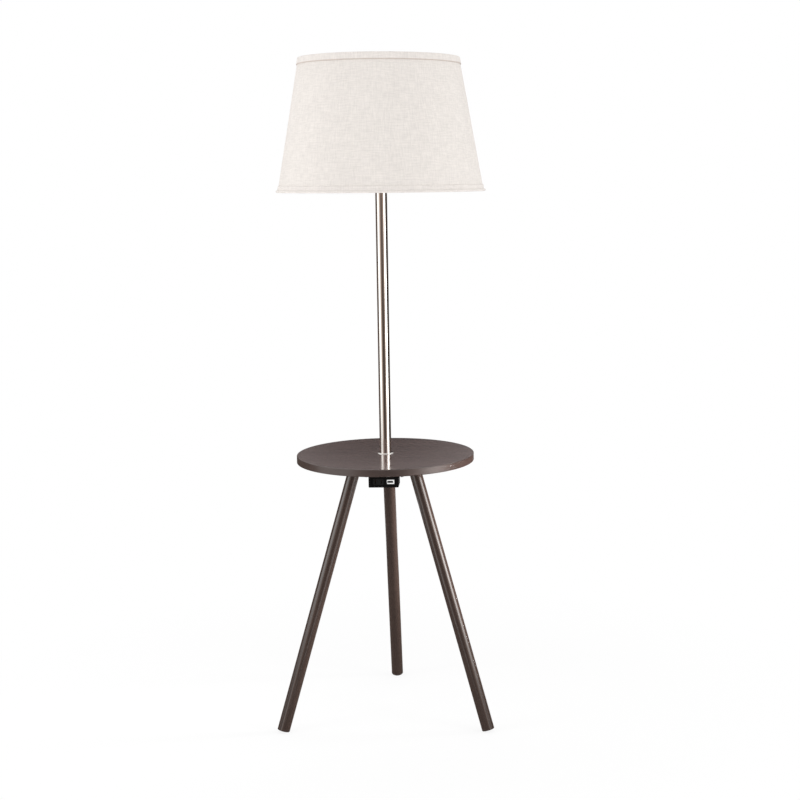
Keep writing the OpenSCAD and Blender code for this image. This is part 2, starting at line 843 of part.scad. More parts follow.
// The threaded stud, crimped on the top of the harp
module harp_stud() {
    color(brass) difference() {
        union() {
            translate([0, 0, harp_top_z - harp_wire])
                cylinder(d = stud_base_d, h = harp_wire + wire_drop - shoulder_t);
            translate([0, 0, shoulder_z - shoulder_t]) cylinder(d = shoulder_d, h = shoulder_t);
            translate([0, 0, shoulder_z - past]) cylinder(d = stud_d, h = stud_l + past);
        }
        wire_bend(0, harp_top_z - top_x, 45, 90, top_x, harp_wire + 2 * set_clear);
    }
}

// The sleeve that locks a foot of the harp on its post
module ferrule(side) {
    color(brass) translate([side * foot_x, 0, 0])
        ring(ferrule_d, harp_wire + 2 * run_clear, saddle_z + play, saddle_z + play + ferrule_l);
}

module finial() {
    color(nickel) translate([0, 0, finial_z0]) difference() {
        union() {
            cylinder(d = finial_d, h = finial_foot_t);
            cylinder(d = finial_neck_d, h = finial_h - finial_ball_d / 2);
            translate([0, 0, finial_h - finial_ball_d / 2]) sphere(d = finial_ball_d);
        }
        translate([0, 0, -past]) cylinder(d = stud_d + 2 * run_clear, h = finial_bore_l + past);
    }
}

// The hub, arms and top ring of the shade, welded together
module shade_fitter() {
    color(white) {
        ring(hub_d, stud_d + 2 * run_clear, hub_z0, hub_z1);
        for (i = [0 : arm_n - 1]) rotate([0, 0, 90 + i * 360 / arm_n]) {
            wire_run(hub_d / 2 - past, arm_z, 90, arm_l - hub_d / 2 + past, arm_wire);
            weld(arm_l, arm_z, arm_wire);
            wire_bend(arm_l, arm_z + arm_bend_r, -90, arm_rise, arm_bend_r, arm_wire);
            weld(arm_end_x, arm_end_z, arm_wire);
            wire_run(arm_end_x, arm_end_z, 90 - arm_rise, arm_end_l, arm_wire);
        }
        translate([0, 0, top_ring_z]) rotate_extrude() translate([top_ring_r, 0])
            circle(d = ring_wire);
    }
}

module shade_ring() {
    color(white) translate([0, 0, low_ring_z]) rotate_extrude() translate([low_ring_r, 0])
        circle(d = ring_wire);
}

// A tapered skin that follows the shade between two heights and two depths
module shade_skin(z0, z1, outer, inner) {
    rotate_extrude() polygon([
        [shade_r(z0) - inner, z0], [shade_r(z0) - outer, z0],
        [shade_r(z1) - outer, z1], [shade_r(z1) - inner, z1]
    ]);
}

module shade_fabric() {
    color(linen) shade_skin(fabric_z0, fabric_z1, 0, fabric_t);
}

module shade_liner() {
    color(white) shade_skin(fabric_z0, fabric_z1, lining_depth, lining_depth + liner_t);
}

// Tape on the outside of the fabric, turned in over its top edge
module shade_trim_top() {
    z0 = shade_z1 - top_trim_h;
    color(linen) rotate_extrude() polygon([
        [shade_r(z0) + set_clear, z0], [shade_r(z0) + trim_t, z0],
        [shade_r(shade_z1) + trim_t, shade_z1], [top_ring_r - ring_wire / 2, shade_z1],
        [top_ring_r - ring_wire / 2, shade_z1 - trim_t],
        [shade_r(shade_z1 - trim_t) + set_clear, shade_z1 - trim_t]
    ]);
}

// Tape with a rolled lip, turned in under the fabric's bottom edge
module shade_trim_bottom() {
    z1 = shade_z0 + bottom_trim_h;
    color(linen) union() {
        rotate_extrude() polygon([
            [shade_r(z1) + set_clear, z1], [shade_r(z1) + trim_t, z1],
            [shade_r(shade_z0) + trim_t, shade_z0], [low_ring_r - ring_wire / 2, shade_z0],
            [low_ring_r - ring_wire / 2, shade_z0 + trim_t],
            [shade_r(shade_z0 + trim_t) + set_clear, shade_z0 + trim_t]
        ]);
        difference() {
            translate([0, 0, shade_z0 + lip_d / 2 + lip_lift]) rotate_extrude()
                translate([shade_r(shade_z0) + lip_out - lip_d / 2, 0]) circle(d = lip_d);
            shade_skin(shade_z0 - past, z1, -trim_t / 2, lip_d);
        }
    }
}

// A block with round corners that runs back from a point on the power outlet's face
module face_block(x, z, w, h, r, y0, l) {
    translate([x, y0 + l, z]) rotate([90, 0, 0]) linear_extrude(l) round_rect(w, h, r);
}

// The hollow box of the power outlet, with its ears and a shelf for the board
module power_housing() {
    l = power_y1 - housing_y0;
    color(black) difference() {
        union() {
            face_block(power_x, face_z, power_w, power_h, power_r, housing_y0, l);
            for (x = [-1, 1]) translate([power_x + x * (ear_x - past), ear_y, under_z - ear_t / 2])
                cube([ear_w + 2 * past, ear_l, ear_t], center = true);
        }
        difference() {
            translate([power_x - power_w / 2 + power_wall, housing_y0 - past, power_z0 + power_wall])
                cube([power_w - 2 * power_wall, l - power_wall + past, power_h - 2 * power_wall]);
            for (x = [-1, 1]) translate([
                port_cx + x * (board_w / 2 - shelf_w / 2) - shelf_w / 2,
                port_base_y + board_gap, power_z0
            ]) cube([shelf_w, l, board_z0 - power_z0]);
        }
        at_ears() translate([0, 0, -past])
            cylinder(d = screw_d + 2 * bolt_clear, h = ear_t + 2 * past);
        translate([inlet_cx, power_y1 + past, inlet_z]) rotate([90, 0, 0])
            cylinder(d = inlet_spigot_d + 2 * set_clear, h = power_wall + 2 * past);
    }
}

// The front cover: a raised rim around a sunk panel with two windows
module power_cover() {
    color(black) difference() {
        union() {
            face_block(power_x, face_z, power_w, power_h, power_r, power_y0, cover_t);
            face_block(power_x, face_z, power_w - 2 * power_wall - 2 * set_clear,
                power_h - 2 * power_wall - 2 * set_clear, lip_r, housing_y0 - past,
                cover_in + past);
        }
        face_block(power_x, face_z, panel_w, panel_h, window_r, power_y0 - past, panel_t + past);
        face_block(power_x, face_z, panel_w - 2 * cover_lip, panel_h, lip_r, housing_y0,
            cover_in + past);
        face_block(plug_cx, face_z, plug_w + 2 * set_clear, plug_h + 2 * set_clear, window_r,
            power_y0, cover_t + past);
        face_block(port_cx, face_z, port_w + 2 * set_clear, port_h + 2 * set_clear, window_r,
            power_y0, cover_t + past);
    }
}

// The two-slot insert, with a pocket behind each slot for its contact
module plug_insert() {
    color("#222222") difference() {
        face_block(plug_cx, face_z, plug_w, plug_h, window_r, insert_y, plug_t);
        for (s = [[-1, slot_long], [1, slot_h]])
            translate([plug_cx + s[0] * slot_pitch / 2, insert_y, face_z]) {
                cube([slot_w, 2 * slot_depth, s[1]], center = true);
                translate([-slot_w / 2 - pocket_side, pocket_y, -s[1] / 2 - pocket_rise])
                    cube([slot_w + 2 * pocket_side, plug_t, s[1] + 2 * pocket_rise]);
            }
    }
}

// A springy fold of brass behind each slot
module plug_contacts() {
    l = plug_t - contact_y - past;
    color(brass) for (s = [[-1, slot_long], [1, slot_h]])
        translate([plug_cx + s[0] * slot_pitch / 2, insert_y + contact_y, face_z - s[1] / 2])
            difference() {
                translate([-slot_w / 2 - leaf_t, 0, 0]) cube([slot_w + 2 * leaf_t, l, s[1]]);
                translate([-slot_w / 2, -past, -past])
                    cube([slot_w, l + past - leaf_t, s[1] + 2 * past]);
            }
}

module port_frame() {
    color(white) difference() {
        face_block(port_cx, face_z, port_w, port_h, window_r, insert_y, port_t);
        translate([port_hole_x, insert_y - past, face_z - port_hole_h / 2])
            cube([port_hole_w, port_t + 2 * past, port_hole_h]);
    }
}

// The tongue inside the port, on its base on the board
module port_tongue() {
    color(black) {
        translate([port_hole_x, port_base_y, face_z - port_hole_h / 2 - port_gap])
            cube([port_hole_w, port_base_t, port_hole_h + port_gap]);
        translate([port_hole_x + tongue_side, port_base_y - tongue_l, face_z + port_gap])
            cube([port_hole_w - 2 * tongue_side, tongue_l + past, tongue_t]);
    }
}

module power_board() {
    color("#2f6b45") translate([port_cx - board_w / 2, port_base_y, board_z0])
        cube([board_w, board_l, board_t]);
}

// The inlet in the back of the housing, where a cord would enter
module power_inlet() {
    color(black) translate([inlet_cx, power_y1, inlet_z]) rotate([90, 0, 0]) difference() {
        union() {
            translate([0, 0, -inlet_t]) cylinder(d = inlet_d, h = inlet_t);
            translate([0, 0, -past]) cylinder(d = inlet_spigot_d, h = power_wall + past);
        }
        translate([0, 0, -inlet_t - past])
            cylinder(d = inlet_bore, h = inlet_t + power_wall + 2 * past);
    }
}

module power_screws() {
    color(steel) at_ears() wood_screw();
}

table_top();
table_band();
leg(AZ_LEFT);  // leg_left
leg(AZ_RIGHT);  // leg_right
leg(AZ_BACK);  // leg_back
leg_plate(AZ_LEFT);  // leg_plate_left
leg_plate(AZ_RIGHT);  // leg_plate_right
leg_plate(AZ_BACK);  // leg_plate_back
leg_bolts();
plate_screws();
pole_flange();
pole();
pole_cap();
tie_rod();
clamp_washer();
lock_washer();
tie_nut();
rod_bushing();
lamp_wire();
saddle();
socket_cap();
socket_shell();
socket_sleeve();
switch_block();
screw_shell();
center_contact();
switch_knob();
bulb_base();
bulb_glass();
harp();
harp_stud();
ferrule(-1);  // ferrule_left
ferrule(1);  // ferrule_right
finial();
shade_fitter();
shade_ring();
shade_fabric();
shade_liner();
shade_trim_top();
shade_trim_bottom();
power_housing();
power_cover();
plug_insert();
plug_contacts();
port_frame();
port_tongue();
power_board();
power_inlet();
power_screws();
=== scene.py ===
"""Floor lamp with a round table: its looks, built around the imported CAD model.

Lengths are metres in the CAD model's frame: the origin is on the floor, on the pole's
axis, +Z is up and -Y is the front. New pieces are numpy surfaces; what is hard and
turned or cut keeps its CAD mesh and gets a finish here.
"""

import math

import bpy
import numpy as np
from bpy.props import FloatProperty, FloatVectorProperty, IntProperty, PointerProperty
from mathutils import Matrix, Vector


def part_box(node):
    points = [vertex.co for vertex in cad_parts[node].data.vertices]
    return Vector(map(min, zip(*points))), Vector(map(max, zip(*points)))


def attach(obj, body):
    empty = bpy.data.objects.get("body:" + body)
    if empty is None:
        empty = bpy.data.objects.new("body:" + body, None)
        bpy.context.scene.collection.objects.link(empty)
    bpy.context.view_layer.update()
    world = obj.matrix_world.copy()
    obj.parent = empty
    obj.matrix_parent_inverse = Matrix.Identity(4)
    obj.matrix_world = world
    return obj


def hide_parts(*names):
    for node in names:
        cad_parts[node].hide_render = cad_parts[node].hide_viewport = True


bl_info = {
    "name": "Floor Lamp With Table",
    "version": (1, 0, 0),
    "blender": (4, 5, 0),
    "location": "View3D > Sidebar > Lamp",
    "description": "Shade cloth, wood, metal and studio for a floor lamp with a table",
    "category": "Object",
}

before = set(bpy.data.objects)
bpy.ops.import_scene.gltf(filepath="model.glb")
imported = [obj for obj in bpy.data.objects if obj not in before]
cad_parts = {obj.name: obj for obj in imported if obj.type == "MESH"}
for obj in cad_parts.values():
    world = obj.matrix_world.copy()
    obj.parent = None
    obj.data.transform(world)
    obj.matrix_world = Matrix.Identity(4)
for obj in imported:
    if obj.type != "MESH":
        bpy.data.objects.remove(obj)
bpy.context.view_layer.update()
MM = 0.001
TAU = 2 * math.pi
HAIR = 0.1 * MM  # gap between a tape and the cloth under it
SEAM_EASE = 0.6 * MM  # width over which the cloth rises to its overlap
SEAM_RISE = 0.7  # height of the overlap, as a share of the cloth's thickness
SURROUND = 1.0  # strength of the white surround, as the camera and mirrors see it


# ---------------------------------------------------------------- sizes from the frame


def cad_points(node):
    """All the points of a CAD node as an array of rows x, y, z."""
    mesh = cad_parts[node].data
    flat = np.empty(3 * len(mesh.vertices), np.float32)
    mesh.vertices.foreach_get("co", flat)
    return flat.reshape(-1, 3).astype(float)


def cad_rim(node, top):
    """Height, smallest and largest radius of the points at a turned node's end."""
    points = cad_points(node)
    z = points[:, 2].max() if top else points[:, 2].min()
    radii = np.hypot(points[:, 0], points[:, 1])[np.abs(points[:, 2] - z) < 0.01 * MM]
    return z, radii.min(), radii.max()


CLOTH_Z0, _, CLOTH_R0 = cad_rim("shade_fabric", False)
CLOTH_Z1, _, CLOTH_R1 = cad_rim("shade_fabric", True)
LINING_Z0, LINING_IN0, LINING_OUT0 = cad_rim("shade_liner", False)
SHADE_Z0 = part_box("shade_trim_bottom")[0].z
SHADE_Z1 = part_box("shade_trim_top")[1].z
TAPE_TOP_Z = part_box("shade_trim_top")[0].z
TAPE_LOW_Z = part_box("shade_trim_bottom")[1].z
LIP_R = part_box("shade_trim_bottom")[1].x
SLOPE = (CLOTH_R1 - CLOTH_R0) / (CLOTH_Z1 - CLOTH_Z0)
SLANT = math.atan(SLOPE)


def shade_radius(z):
    """The cloth's outer radius at a height: a straight line from hem to hem."""
    return CLOTH_R0 + (z - CLOTH_Z0) * SLOPE


# ---------------------------------------------------------------- numpy surfaces


def turned_grid(profile, segments, shape=None):
    """A closed profile of (radius, height) rows, turned around Z.

    Point (i, j) is profile row i at angle j * tau / segments. shape, if given, takes
    the radii, heights and angles as grids and returns the radii to use.
    """
    angle = np.arange(segments) * TAU / segments
    radius = np.repeat(profile[:, :1], segments, 1)
    height = np.repeat(profile[:, 1:2], segments, 1)
    angles = np.repeat(angle[None, :], len(profile), 0)
    if shape is not None:
        radius = shape(radius, height, angles)
    return np.stack([radius * np.cos(angles), radius * np.sin(angles), height], 2)


def grid_quads(rows, columns, wrap_rows, wrap_columns):
    """Corner indices of the quads between neighbours on a grid, wrapped where asked."""
    i = np.arange(rows if wrap_rows else rows - 1)[:, None]
    j = np.arange(columns if wrap_columns else columns - 1)[None, :]
    up, right = (i + 1) % rows, (j + 1) % columns
    corners = [i * columns + j, i * columns + right, up * columns + right, up * columns + j]
    return np.stack([c * np.ones_like(i + j) for c in corners], 2).reshape(-1, 4)


def loop_lengths(profile):
    """Distance along a closed profile at each of its rows and back at the first."""
    steps = np.hypot(*(np.roll(profile, -1, 0) - profile).T)
    return np.concatenate([[0], np.cumsum(steps)])


def mesh_from_grid(name, points, uv, wrap_rows, wrap_columns, caps=()):
    """A mesh from a grid of points, with smooth faces and a UV map in metres.

    uv holds one row more than points where the rows wrap, and one column more where
    the columns do, so that the map doesn't run back over the seam. caps lists grid
    rows that a fan of triangles closes, each with the point in its middle.
    """
    rows, columns = points.shape[:2]
    quads = grid_quads(rows, columns, wrap_rows, wrap_columns)
    co = points.reshape(-1, 3)
    faces = quads.tolist()
    for row, centre, outward in caps:
        co = np.vstack([co, centre])
        ring = np.arange(columns) + row * columns
        after = np.roll(ring, -1)
        pair = (ring, after) if outward else (after, ring)
        faces += np.stack([*pair, np.full(columns, len(co) - 1)], 1).tolist()
    mesh = bpy.data.meshes.new(name)
    mesh.from_pydata(co.tolist(), [], faces)
    layer = mesh.uv_layers.new(name="metres")
    i = np.arange(rows if wrap_rows else rows - 1)[:, None]
    j = np.arange(columns if wrap_columns else columns - 1)[None, :]
    one = np.ones_like(i + j)
    corners = [(i, j), (i, j + 1), (i + 1, j + 1), (i + 1, j)]
    loops = np.stack([uv[a * one, b * one] for a, b in corners], 2).reshape(-1, 2)
    flat = np.zeros((len(mesh.loops), 2), np.float32)
    flat[: len(loops)] = loops
    layer.data.foreach_set("uv", flat.ravel())
    mesh.polygons.foreach_set("use_smooth", np.ones(len(mesh.polygons), bool))
    mesh.update()
    return mesh


def turned_mesh(name, profile, segments, shape=None):
    """A ring with a closed profile as its section. U runs around it, V along the section."""
    points = turned_grid(profile, segments, shape)
    around = np.linspace(0, TAU * profile[:, 0].mean(), segments + 1)
    along = loop_lengths(profile)
    uv = np.stack(np.broadcast_arrays(around[None, :], along[:, None]), 2)
    return mesh_from_grid(name, points, uv, True, True)


def add_piece(name, mesh, body, slot, material, *stands_for):
    """Links a mesh as a piece that rides on a body and stands for CAD nodes."""
    mesh.materials.append(material)
    piece = bpy.data.objects.new(name, mesh)
    bpy.context.scene.collection.objects.link(piece)
    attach(piece, body)
    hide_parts(*stands_for)
    return piece


def arc(centre_r, centre_z, radius, start, end, count):
    """Points (radius, height) on part of a circle, between two angles in degrees."""
    a = np.radians(np.linspace(start, end, count))
    return np.stack([centre_r + radius * np.cos(a), centre_z + radius * np.sin(a)], 1)


def line(r0, z0, r1, z1, count):
    """Points spread evenly between two ends, both left out."""
    t = np.linspace(0, 1, count + 2)[1:-1]
    return np.stack([r0 + (r1 - r0) * t, z0 + (z1 - z0) * t], 1)


def ripple(angles, heights, seed, depth):
    """A soft unevenness: the mean of eight sine waves of random length and place."""
    waves = 8
    rng = np.random.default_rng(seed)
    total = np.zeros_like(angles)
    for _ in range(waves):
        turns, lift = rng.integers(3, 40), rng.uniform(8, 60)
        total += np.sin(turns * angles + lift * heights + rng.uniform(0, TAU))
    return depth * total / waves


# ---------------------------------------------------------------- materials


class Nodes:
    """Short ways to add and join shader nodes of one material."""

    def __init__(self, name):
        self.material = bpy.data.materials.new(name)
        self.material.use_nodes = True
        self.tree = self.material.node_tree
        self.surface = self.tree.nodes["Principled BSDF"]

    def add(self, kind, inputs=None, **settings):
        """A node with its settings, and its inputs set or linked by name or number."""
        node = self.tree.nodes.new("ShaderNode" + kind)
        for key, value in settings.items():
            setattr(node, key, value)
        for key, value in (inputs or {}).items():
            self.put(node.inputs[key], value)
        return node

    def put(self, socket, value):
        """Links an output to a socket, or sets the socket's own value."""
        if isinstance(value, bpy.types.NodeSocket):
            self.tree.links.new(value, socket)
        else:
            socket.default_value = value

    def set(self, **inputs):
        """Sets or links the surface's inputs, with _ for a space in a name."""
        for key, value in inputs.items():
            self.put(self.surface.inputs[key.replace("_", " ")], value)

    def glow(self, color, strength):
        """Makes the surface shine evenly and do nothing else."""
        shine = self.add("Emission", {"Color": color, "Strength": strength})
        self.tree.links.new(shine.outputs[0], self.tree.nodes["Material Output"].inputs[0])

    def math(self, operation, a, b=0.0, clamp=False):
        """The result of one Math node."""
        node = self.add("Math", {0: a, 1: b}, operation=operation, use_clamp=clamp)
        return node.outputs[0]

    def place(self, scale, rotation=(0, 0, 0), location=(0, 0, 0), uv=False):
        """Object coordinates or the UV map, moved, turned and scaled."""
        source = self.add("TexCoord").outputs["UV" if uv else "Object"]
        turned = self.add("Mapping", {"Vector": source, "Rotation": rotation})
        turned.inputs["Location"].default_value = location
        return self.add("Mapping", {"Vector": turned.outputs[0], "Scale": scale}).outputs[0]

    def around(self, radius, along, across):
        """Coordinates that run round the Z axis: arc length and height, scaled."""
        xyz = self.add("SeparateXYZ", {0: self.add("TexCoord").outputs["Object"]})
        angle = self.math("ARCTAN2", xyz.outputs[1], xyz.outputs[0])
        u = self.math("MULTIPLY", angle, radius * along)
        v = self.math("MULTIPLY", xyz.outputs[2], across)
        return self.add("CombineXYZ", {0: u, 1: v}).outputs[0]

    def noise(self, vector, scale=1.0, detail=2.0, roughness=0.5, distortion=0.0):
        """The value of one Noise Texture, from 0 to 1."""
        values = {"Vector": vector, "Scale": scale, "Detail": detail}
        values |= {"Roughness": roughness, "Distortion": distortion}
        return self.add("TexNoise", values).outputs["Fac"]

    def spread(self, value, low, high, to_low, to_high):
        """A value mapped from one range to another, and kept inside it."""
        values = {0: value, 1: low, 2: high, 3: to_low, 4: to_high}
        return self.add("MapRange", values, clamp=True).outputs[0]

    def blend(self, factor, a, b, mode="MIX"):
        """Two colours mixed by a factor."""
        node = self.add("Mix", data_type="RGBA", blend_type=mode)
        for socket, value in zip((node.inputs[0], node.inputs[6], node.inputs[7]), (factor, a, b)):
            self.put(socket, value)
        return node.outputs[2]

    def bump(self, height, strength, distance, before=None):
        """A normal bent by a height, on top of another bump if one is given."""
        inputs = {"Height": height, "Strength": strength, "Distance": distance}
        if before is not None:
            inputs["Normal"] = before
        return self.add("Bump", inputs).outputs[0]


def rgba(color, factor=1.0):
    """A colour property as four numbers, made darker or lighter by a factor."""
    return (*(min(1.0, c * factor) for c in color), 1.0)


def give(material, *nodes):
    """Puts a material in every slot of the CAD nodes named."""
    for node in nodes:
        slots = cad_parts[node].material_slots
        for slot in slots:
            slot.material = material


def linen_material(name, color, settings, seam=None):
    """Plain weave: warp and weft as two waves, thick slub threads and faint blotches.

    The height is the larger of the two thread waves, each lifted where it passes over
    the other. Slubs are noise drawn out along one thread direction. seam is the height
    of the tape's fold, if there is one: a thin line there is darkened as painted shade
    under the fold. Two more noises, each stretched along one thread direction, make the
    yarns' colour uneven.
    """
    n = Nodes(name)
    pitch = settings.thread_pitch
    uv = n.add("TexCoord").outputs["UV"]
    wander = n.add("TexNoise", {"Vector": uv, "Scale": 90.0, "Detail": 2.0})
    middle = (0.5, 0.5, 0.5)
    drift = n.add("VectorMath", {0: wander.outputs["Color"], 1: middle}, operation="SUBTRACT")
    scaled = n.add("VectorMath", {0: drift.outputs[0], "Scale": pitch * 0.9}, operation="SCALE")
    moved = n.add("VectorMath", {0: uv, 1: scaled.outputs[0]}, operation="ADD").outputs[0]
    xy = n.add("SeparateXYZ", {0: moved})
    phase = math.pi / pitch
    warp = n.math("SINE", n.math("MULTIPLY", xy.outputs[0], phase))
    weft = n.math("SINE", n.math("MULTIPLY", xy.outputs[1], phase))
    warp_round = n.math("ABSOLUTE", warp)
    weft_round = n.math("ABSOLUTE", weft)
    over = n.math("MULTIPLY", n.math("COSINE", n.math("MULTIPLY", xy.outputs[0], phase)),
                  n.math("COSINE", n.math("MULTIPLY", xy.outputs[1], phase)))
    warp_lift = n.math("ADD", warp_round, n.math("MULTIPLY", over, 0.35))
    weft_lift = n.math("SUBTRACT", weft_round, n.math("MULTIPLY", over, 0.35))
    weave = n.math("MAXIMUM", warp_lift, weft_lift)
    fine, coarse = 1 / pitch, 28.0
    across = n.add("Mapping", {"Vector": uv, "Scale": (coarse, fine * 0.8, 1)}).outputs[0]
    upward = n.add("Mapping", {"Vector": uv, "Scale": (fine * 0.8, coarse, 1)}).outputs[0]
    slub_across = n.spread(n.noise(across, 1.0, 3.0, 0.6), 0.56, 0.78, 0.0, 1.0)
    slub_upward = n.spread(n.noise(upward, 1.0, 3.0, 0.6), 0.58, 0.80, 0.0, 1.0)
    fibre = n.noise(uv, 1400.0, 3.0, 0.65)
    blotch = n.noise(uv, 22.0, 4.0, 0.6)
    dark = rgba(color, 0.80)
    tint = n.blend(n.spread(blotch, 0.3, 0.7, 0.0, 1.0), rgba(color, 0.975), rgba(color, 1.015))
    yarns = []
    pale, deep = 1 + 0.6 * settings.yarn_strength, 1 - settings.yarn_strength
    for scale in ((48.0, 330.0, 1.0), (330.0, 48.0, 1.0)):
        stretched = n.add("Mapping", {"Vector": uv, "Scale": scale}).outputs[0]
        yarns.append(n.noise(stretched, 1.0, 2.0, 0.55))
        uneven = n.spread(yarns[-1], 0.32, 0.68, deep, pale)
        grey = n.add("CombineColor", {0: uneven, 1: uneven, 2: uneven}).outputs[0]
        tint = n.blend(1.0, tint, grey, "MULTIPLY")
    tint = n.blend(n.math("MULTIPLY", slub_across, settings.slub_strength), tint, dark)
    tint = n.blend(n.math("MULTIPLY", slub_upward, settings.slub_strength * 0.7), tint, dark)
    # painted shade: the gaps between the threads are darkened towards a deeper tone of the cloth
    gaps = n.spread(weave, 0.25, 0.8, settings.gap_shade_strength, 0.0)
    tint = n.blend(gaps, tint, rgba(color, 0.7))
    fleck = n.spread(n.noise(uv, 420.0, 2.0, 0.5), 0.66, 0.76, 0.0, 0.35)
    tint = n.blend(fleck, tint, rgba((0.42, 0.34, 0.27)))
    height = n.math("ADD", weave, n.math("MULTIPLY", fibre, 0.5))
    height = n.math("ADD", height, n.math("MULTIPLY", n.math("ADD", slub_across, slub_upward), 0.8))
    height = n.math("ADD", height, n.math("MULTIPLY", n.math("ADD", *yarns), 1.2))
    # painted shade: a thin line at the height seam, under the tape's fold, darkened towards brown
    if seam is not None:
        z = n.add("SeparateXYZ", {0: n.add("TexCoord").outputs["Object"]}).outputs[2]
        from_shade_line = n.math("ABSOLUTE", n.math("SUBTRACT", z, seam))
        tint = n.blend(n.spread(from_shade_line, 0.0008, 0.0022, 0.55, 0.0), tint, rgba((0.46, 0.35, 0.29)))
    n.set(Base_Color=tint, Roughness=n.spread(fibre, 0.2, 0.8, 0.80, 0.95))
    n.set(Normal=n.bump(height, 0.55, pitch * 0.45))
    n.set(Sheen_Weight=0.25, Sheen_Roughness=0.45, Specular_IOR_Level=0.25)
    n.surface.inputs["Sheen Tint"].default_value = rgba((1.0, 0.97, 0.93))
    return n.material


def wood_material(name, color, gloss, shine, place, contrast=1.0):
    """Stained wood under lacquer: fibres drawn out along the grain over a broad figure.

    gloss is the lacquer's roughness, and shine how thick it is. place takes the node
    helper and a pair of scales, along and across the grain, and returns coordinates.
    """
    n = Nodes(name)
    fibre = n.noise(place(n, 9.0, 1500.0), 1.0, 3.0, 0.6)
    pores = n.noise(place(n, 60.0, 2600.0), 1.0, 2.0, 0.5)
    figure = n.noise(place(n, 3.0, 55.0), 1.0, 4.0, 0.55, 0.6)
    cloud = n.noise(place(n, 9.0, 14.0), 1.0, 2.0, 0.5)
    tint = n.blend(n.spread(figure, 0.3, 0.7, 0.0, 1.0), rgba(color, 1 - 0.16 * contrast),
                   rgba(color, 1 + 0.14 * contrast))
    tint = n.blend(n.spread(fibre, 0.35, 0.68, 0.0, 0.5 * contrast), tint, rgba(color, 0.62))
    tint = n.blend(n.spread(pores, 0.60, 0.72, 0.0, 0.55 * contrast), tint, rgba(color, 0.45))
    tint = n.blend(n.spread(cloud, 0.3, 0.7, 0.0, 0.35), tint, rgba(color, 1.22))
    n.set(Base_Color=tint)
    n.set(Roughness=n.spread(fibre, 0.3, 0.75, gloss + 0.10, gloss + 0.24))
    n.set(Normal=n.bump(n.math("SUBTRACT", fibre, pores), 0.25, 0.00012))
    n.set(Coat_Weight=shine, Coat_Roughness=gloss, Coat_IOR=1.7, Specular_IOR_Level=0.4 * shine)
    return n.material


def flat_grain(angle):
    """Coordinates for grain that runs straight across a level board."""
    return lambda n, along, across: n.place((along, across, across), (0, 0, angle))


def leg_grain(azimuth, splay):
    """Coordinates turned so that X follows a leg's axis."""
    out, down = math.sin(splay), math.cos(splay)
    axis = np.array([out * math.cos(azimuth), out * math.sin(azimuth), -down])
    side = np.cross(axis, (0, 0, 1))
    side /= np.linalg.norm(side)
    turn = Matrix(np.stack([axis, side, np.cross(axis, side)]).tolist()).to_euler()
    return lambda n, along, across: n.place((along, across, across), tuple(turn))


def rim_grain(radius):
    """Coordinates for grain that runs along a round edge band."""
    return lambda n, along, across: n.around(radius, along, across)


def metal_material(name, color, roughness, grain, wear=0.06, bump=0.05, brush=0.18):
    """Plated metal: fine brush lines along one direction, and a faint handled look.

    brush is how far, up or down, the lines change the roughness.
    """
    n = Nodes(name)
    lines = n.noise(n.place(grain), 1.0, 3.0, 0.6)
    haze = n.noise(n.place((14, 14, 14)), 1.0, 3.0, 0.55)
    tint = n.blend(n.spread(haze, 0.3, 0.7, 0.0, 1.0), rgba(color, 1 - wear), rgba(color))
    n.set(Base_Color=tint, Metallic=1.0)
    streaks = n.spread(lines, 0.3, 0.7, roughness * (1 - brush), roughness * (1 + brush))
    n.set(Roughness=n.math("ADD", streaks, n.spread(haze, 0.3, 0.7, 0.0, brush / 6), True))
    n.set(Normal=n.bump(lines, bump, 0.0002))
    return n.material


def plastic_material(name, color, roughness, grain=2200.0, bump=0.2, variation=0.08,
                     coat=0.0, shine=0.5):
    """Moulded plastic: an even spark-eroded grain, and a little unevenness in its gloss."""
    n = Nodes(name)
    spots = n.noise(n.place((grain,) * 3), 1.0, 2.0, 0.5)
    broad = n.noise(n.place((60, 60, 60)), 1.0, 3.0, 0.6)
    deep, pale = rgba(color, 1 - variation), rgba(color, 1 + variation)
    n.set(Base_Color=n.blend(n.spread(broad, 0.3, 0.7, 0.0, 1.0), deep, pale))
    n.set(Roughness=n.spread(broad, 0.3, 0.7, roughness - 0.04, roughness + 0.06))
    n.set(Normal=n.bump(spots, bump, 0.00015), Coat_Weight=coat, Specular_IOR_Level=shine)
    return n.material


def glass_material(name, color):
    """Frosted glass: white, with some light passing through it."""
    n = Nodes(name)
    frost = n.noise(n.place((900, 900, 900)), 1.0, 2.0, 0.5)
    haze = n.noise(n.place((40, 40, 40)), 1.0, 2.0, 0.5)
    n.set(Base_Color=n.blend(haze, rgba(color, 0.97), rgba(color)))
    n.set(Roughness=n.spread(frost, 0.3, 0.7, 0.38, 0.5))
    n.set(Normal=n.bump(frost, 0.1, 0.0001), Transmission_Weight=0.3, Coat_Weight=0.3)
    return n.material


def board_material(name, color):
    """Circuit board: solder mask with lighter tracks in steps of a small square."""
    n = Nodes(name)
    tracks = n.add("TexBrick", {"Vector": n.place((420, 420, 420)), "Mortar Size": 0.08})
    n.put(tracks.inputs["Color1"], rgba(color))
    n.put(tracks.inputs["Color2"], rgba(color, 0.8))
    n.put(tracks.inputs["Mortar"], rgba(color, 1.7))
    n.set(Base_Color=tracks.outputs[0], Roughness=0.35)
    n.set(Normal=n.bump(tracks.outputs["Fac"], 0.2, 0.0001))
    return n.material


# ---------------------------------------------------------------- settings


def size(name, value, text, low=0.0, high=1.0):
    """A length property in metres."""
    return FloatProperty(name=name, description=text, default=value, min=low, max=high,
                         precision=5, subtype="DISTANCE", unit="LENGTH")


def share(name, value, text, high=1.0):
    """A property between 0 and a limit, 1 unless another is given."""
    return FloatProperty(name=name, description=text, default=value, min=0.0, max=high,
                         subtype="FACTOR")


def watts(name, value, text):
    """A light's power."""
    return FloatProperty(name=name, description=text, default=value, min=0.0, unit="POWER")


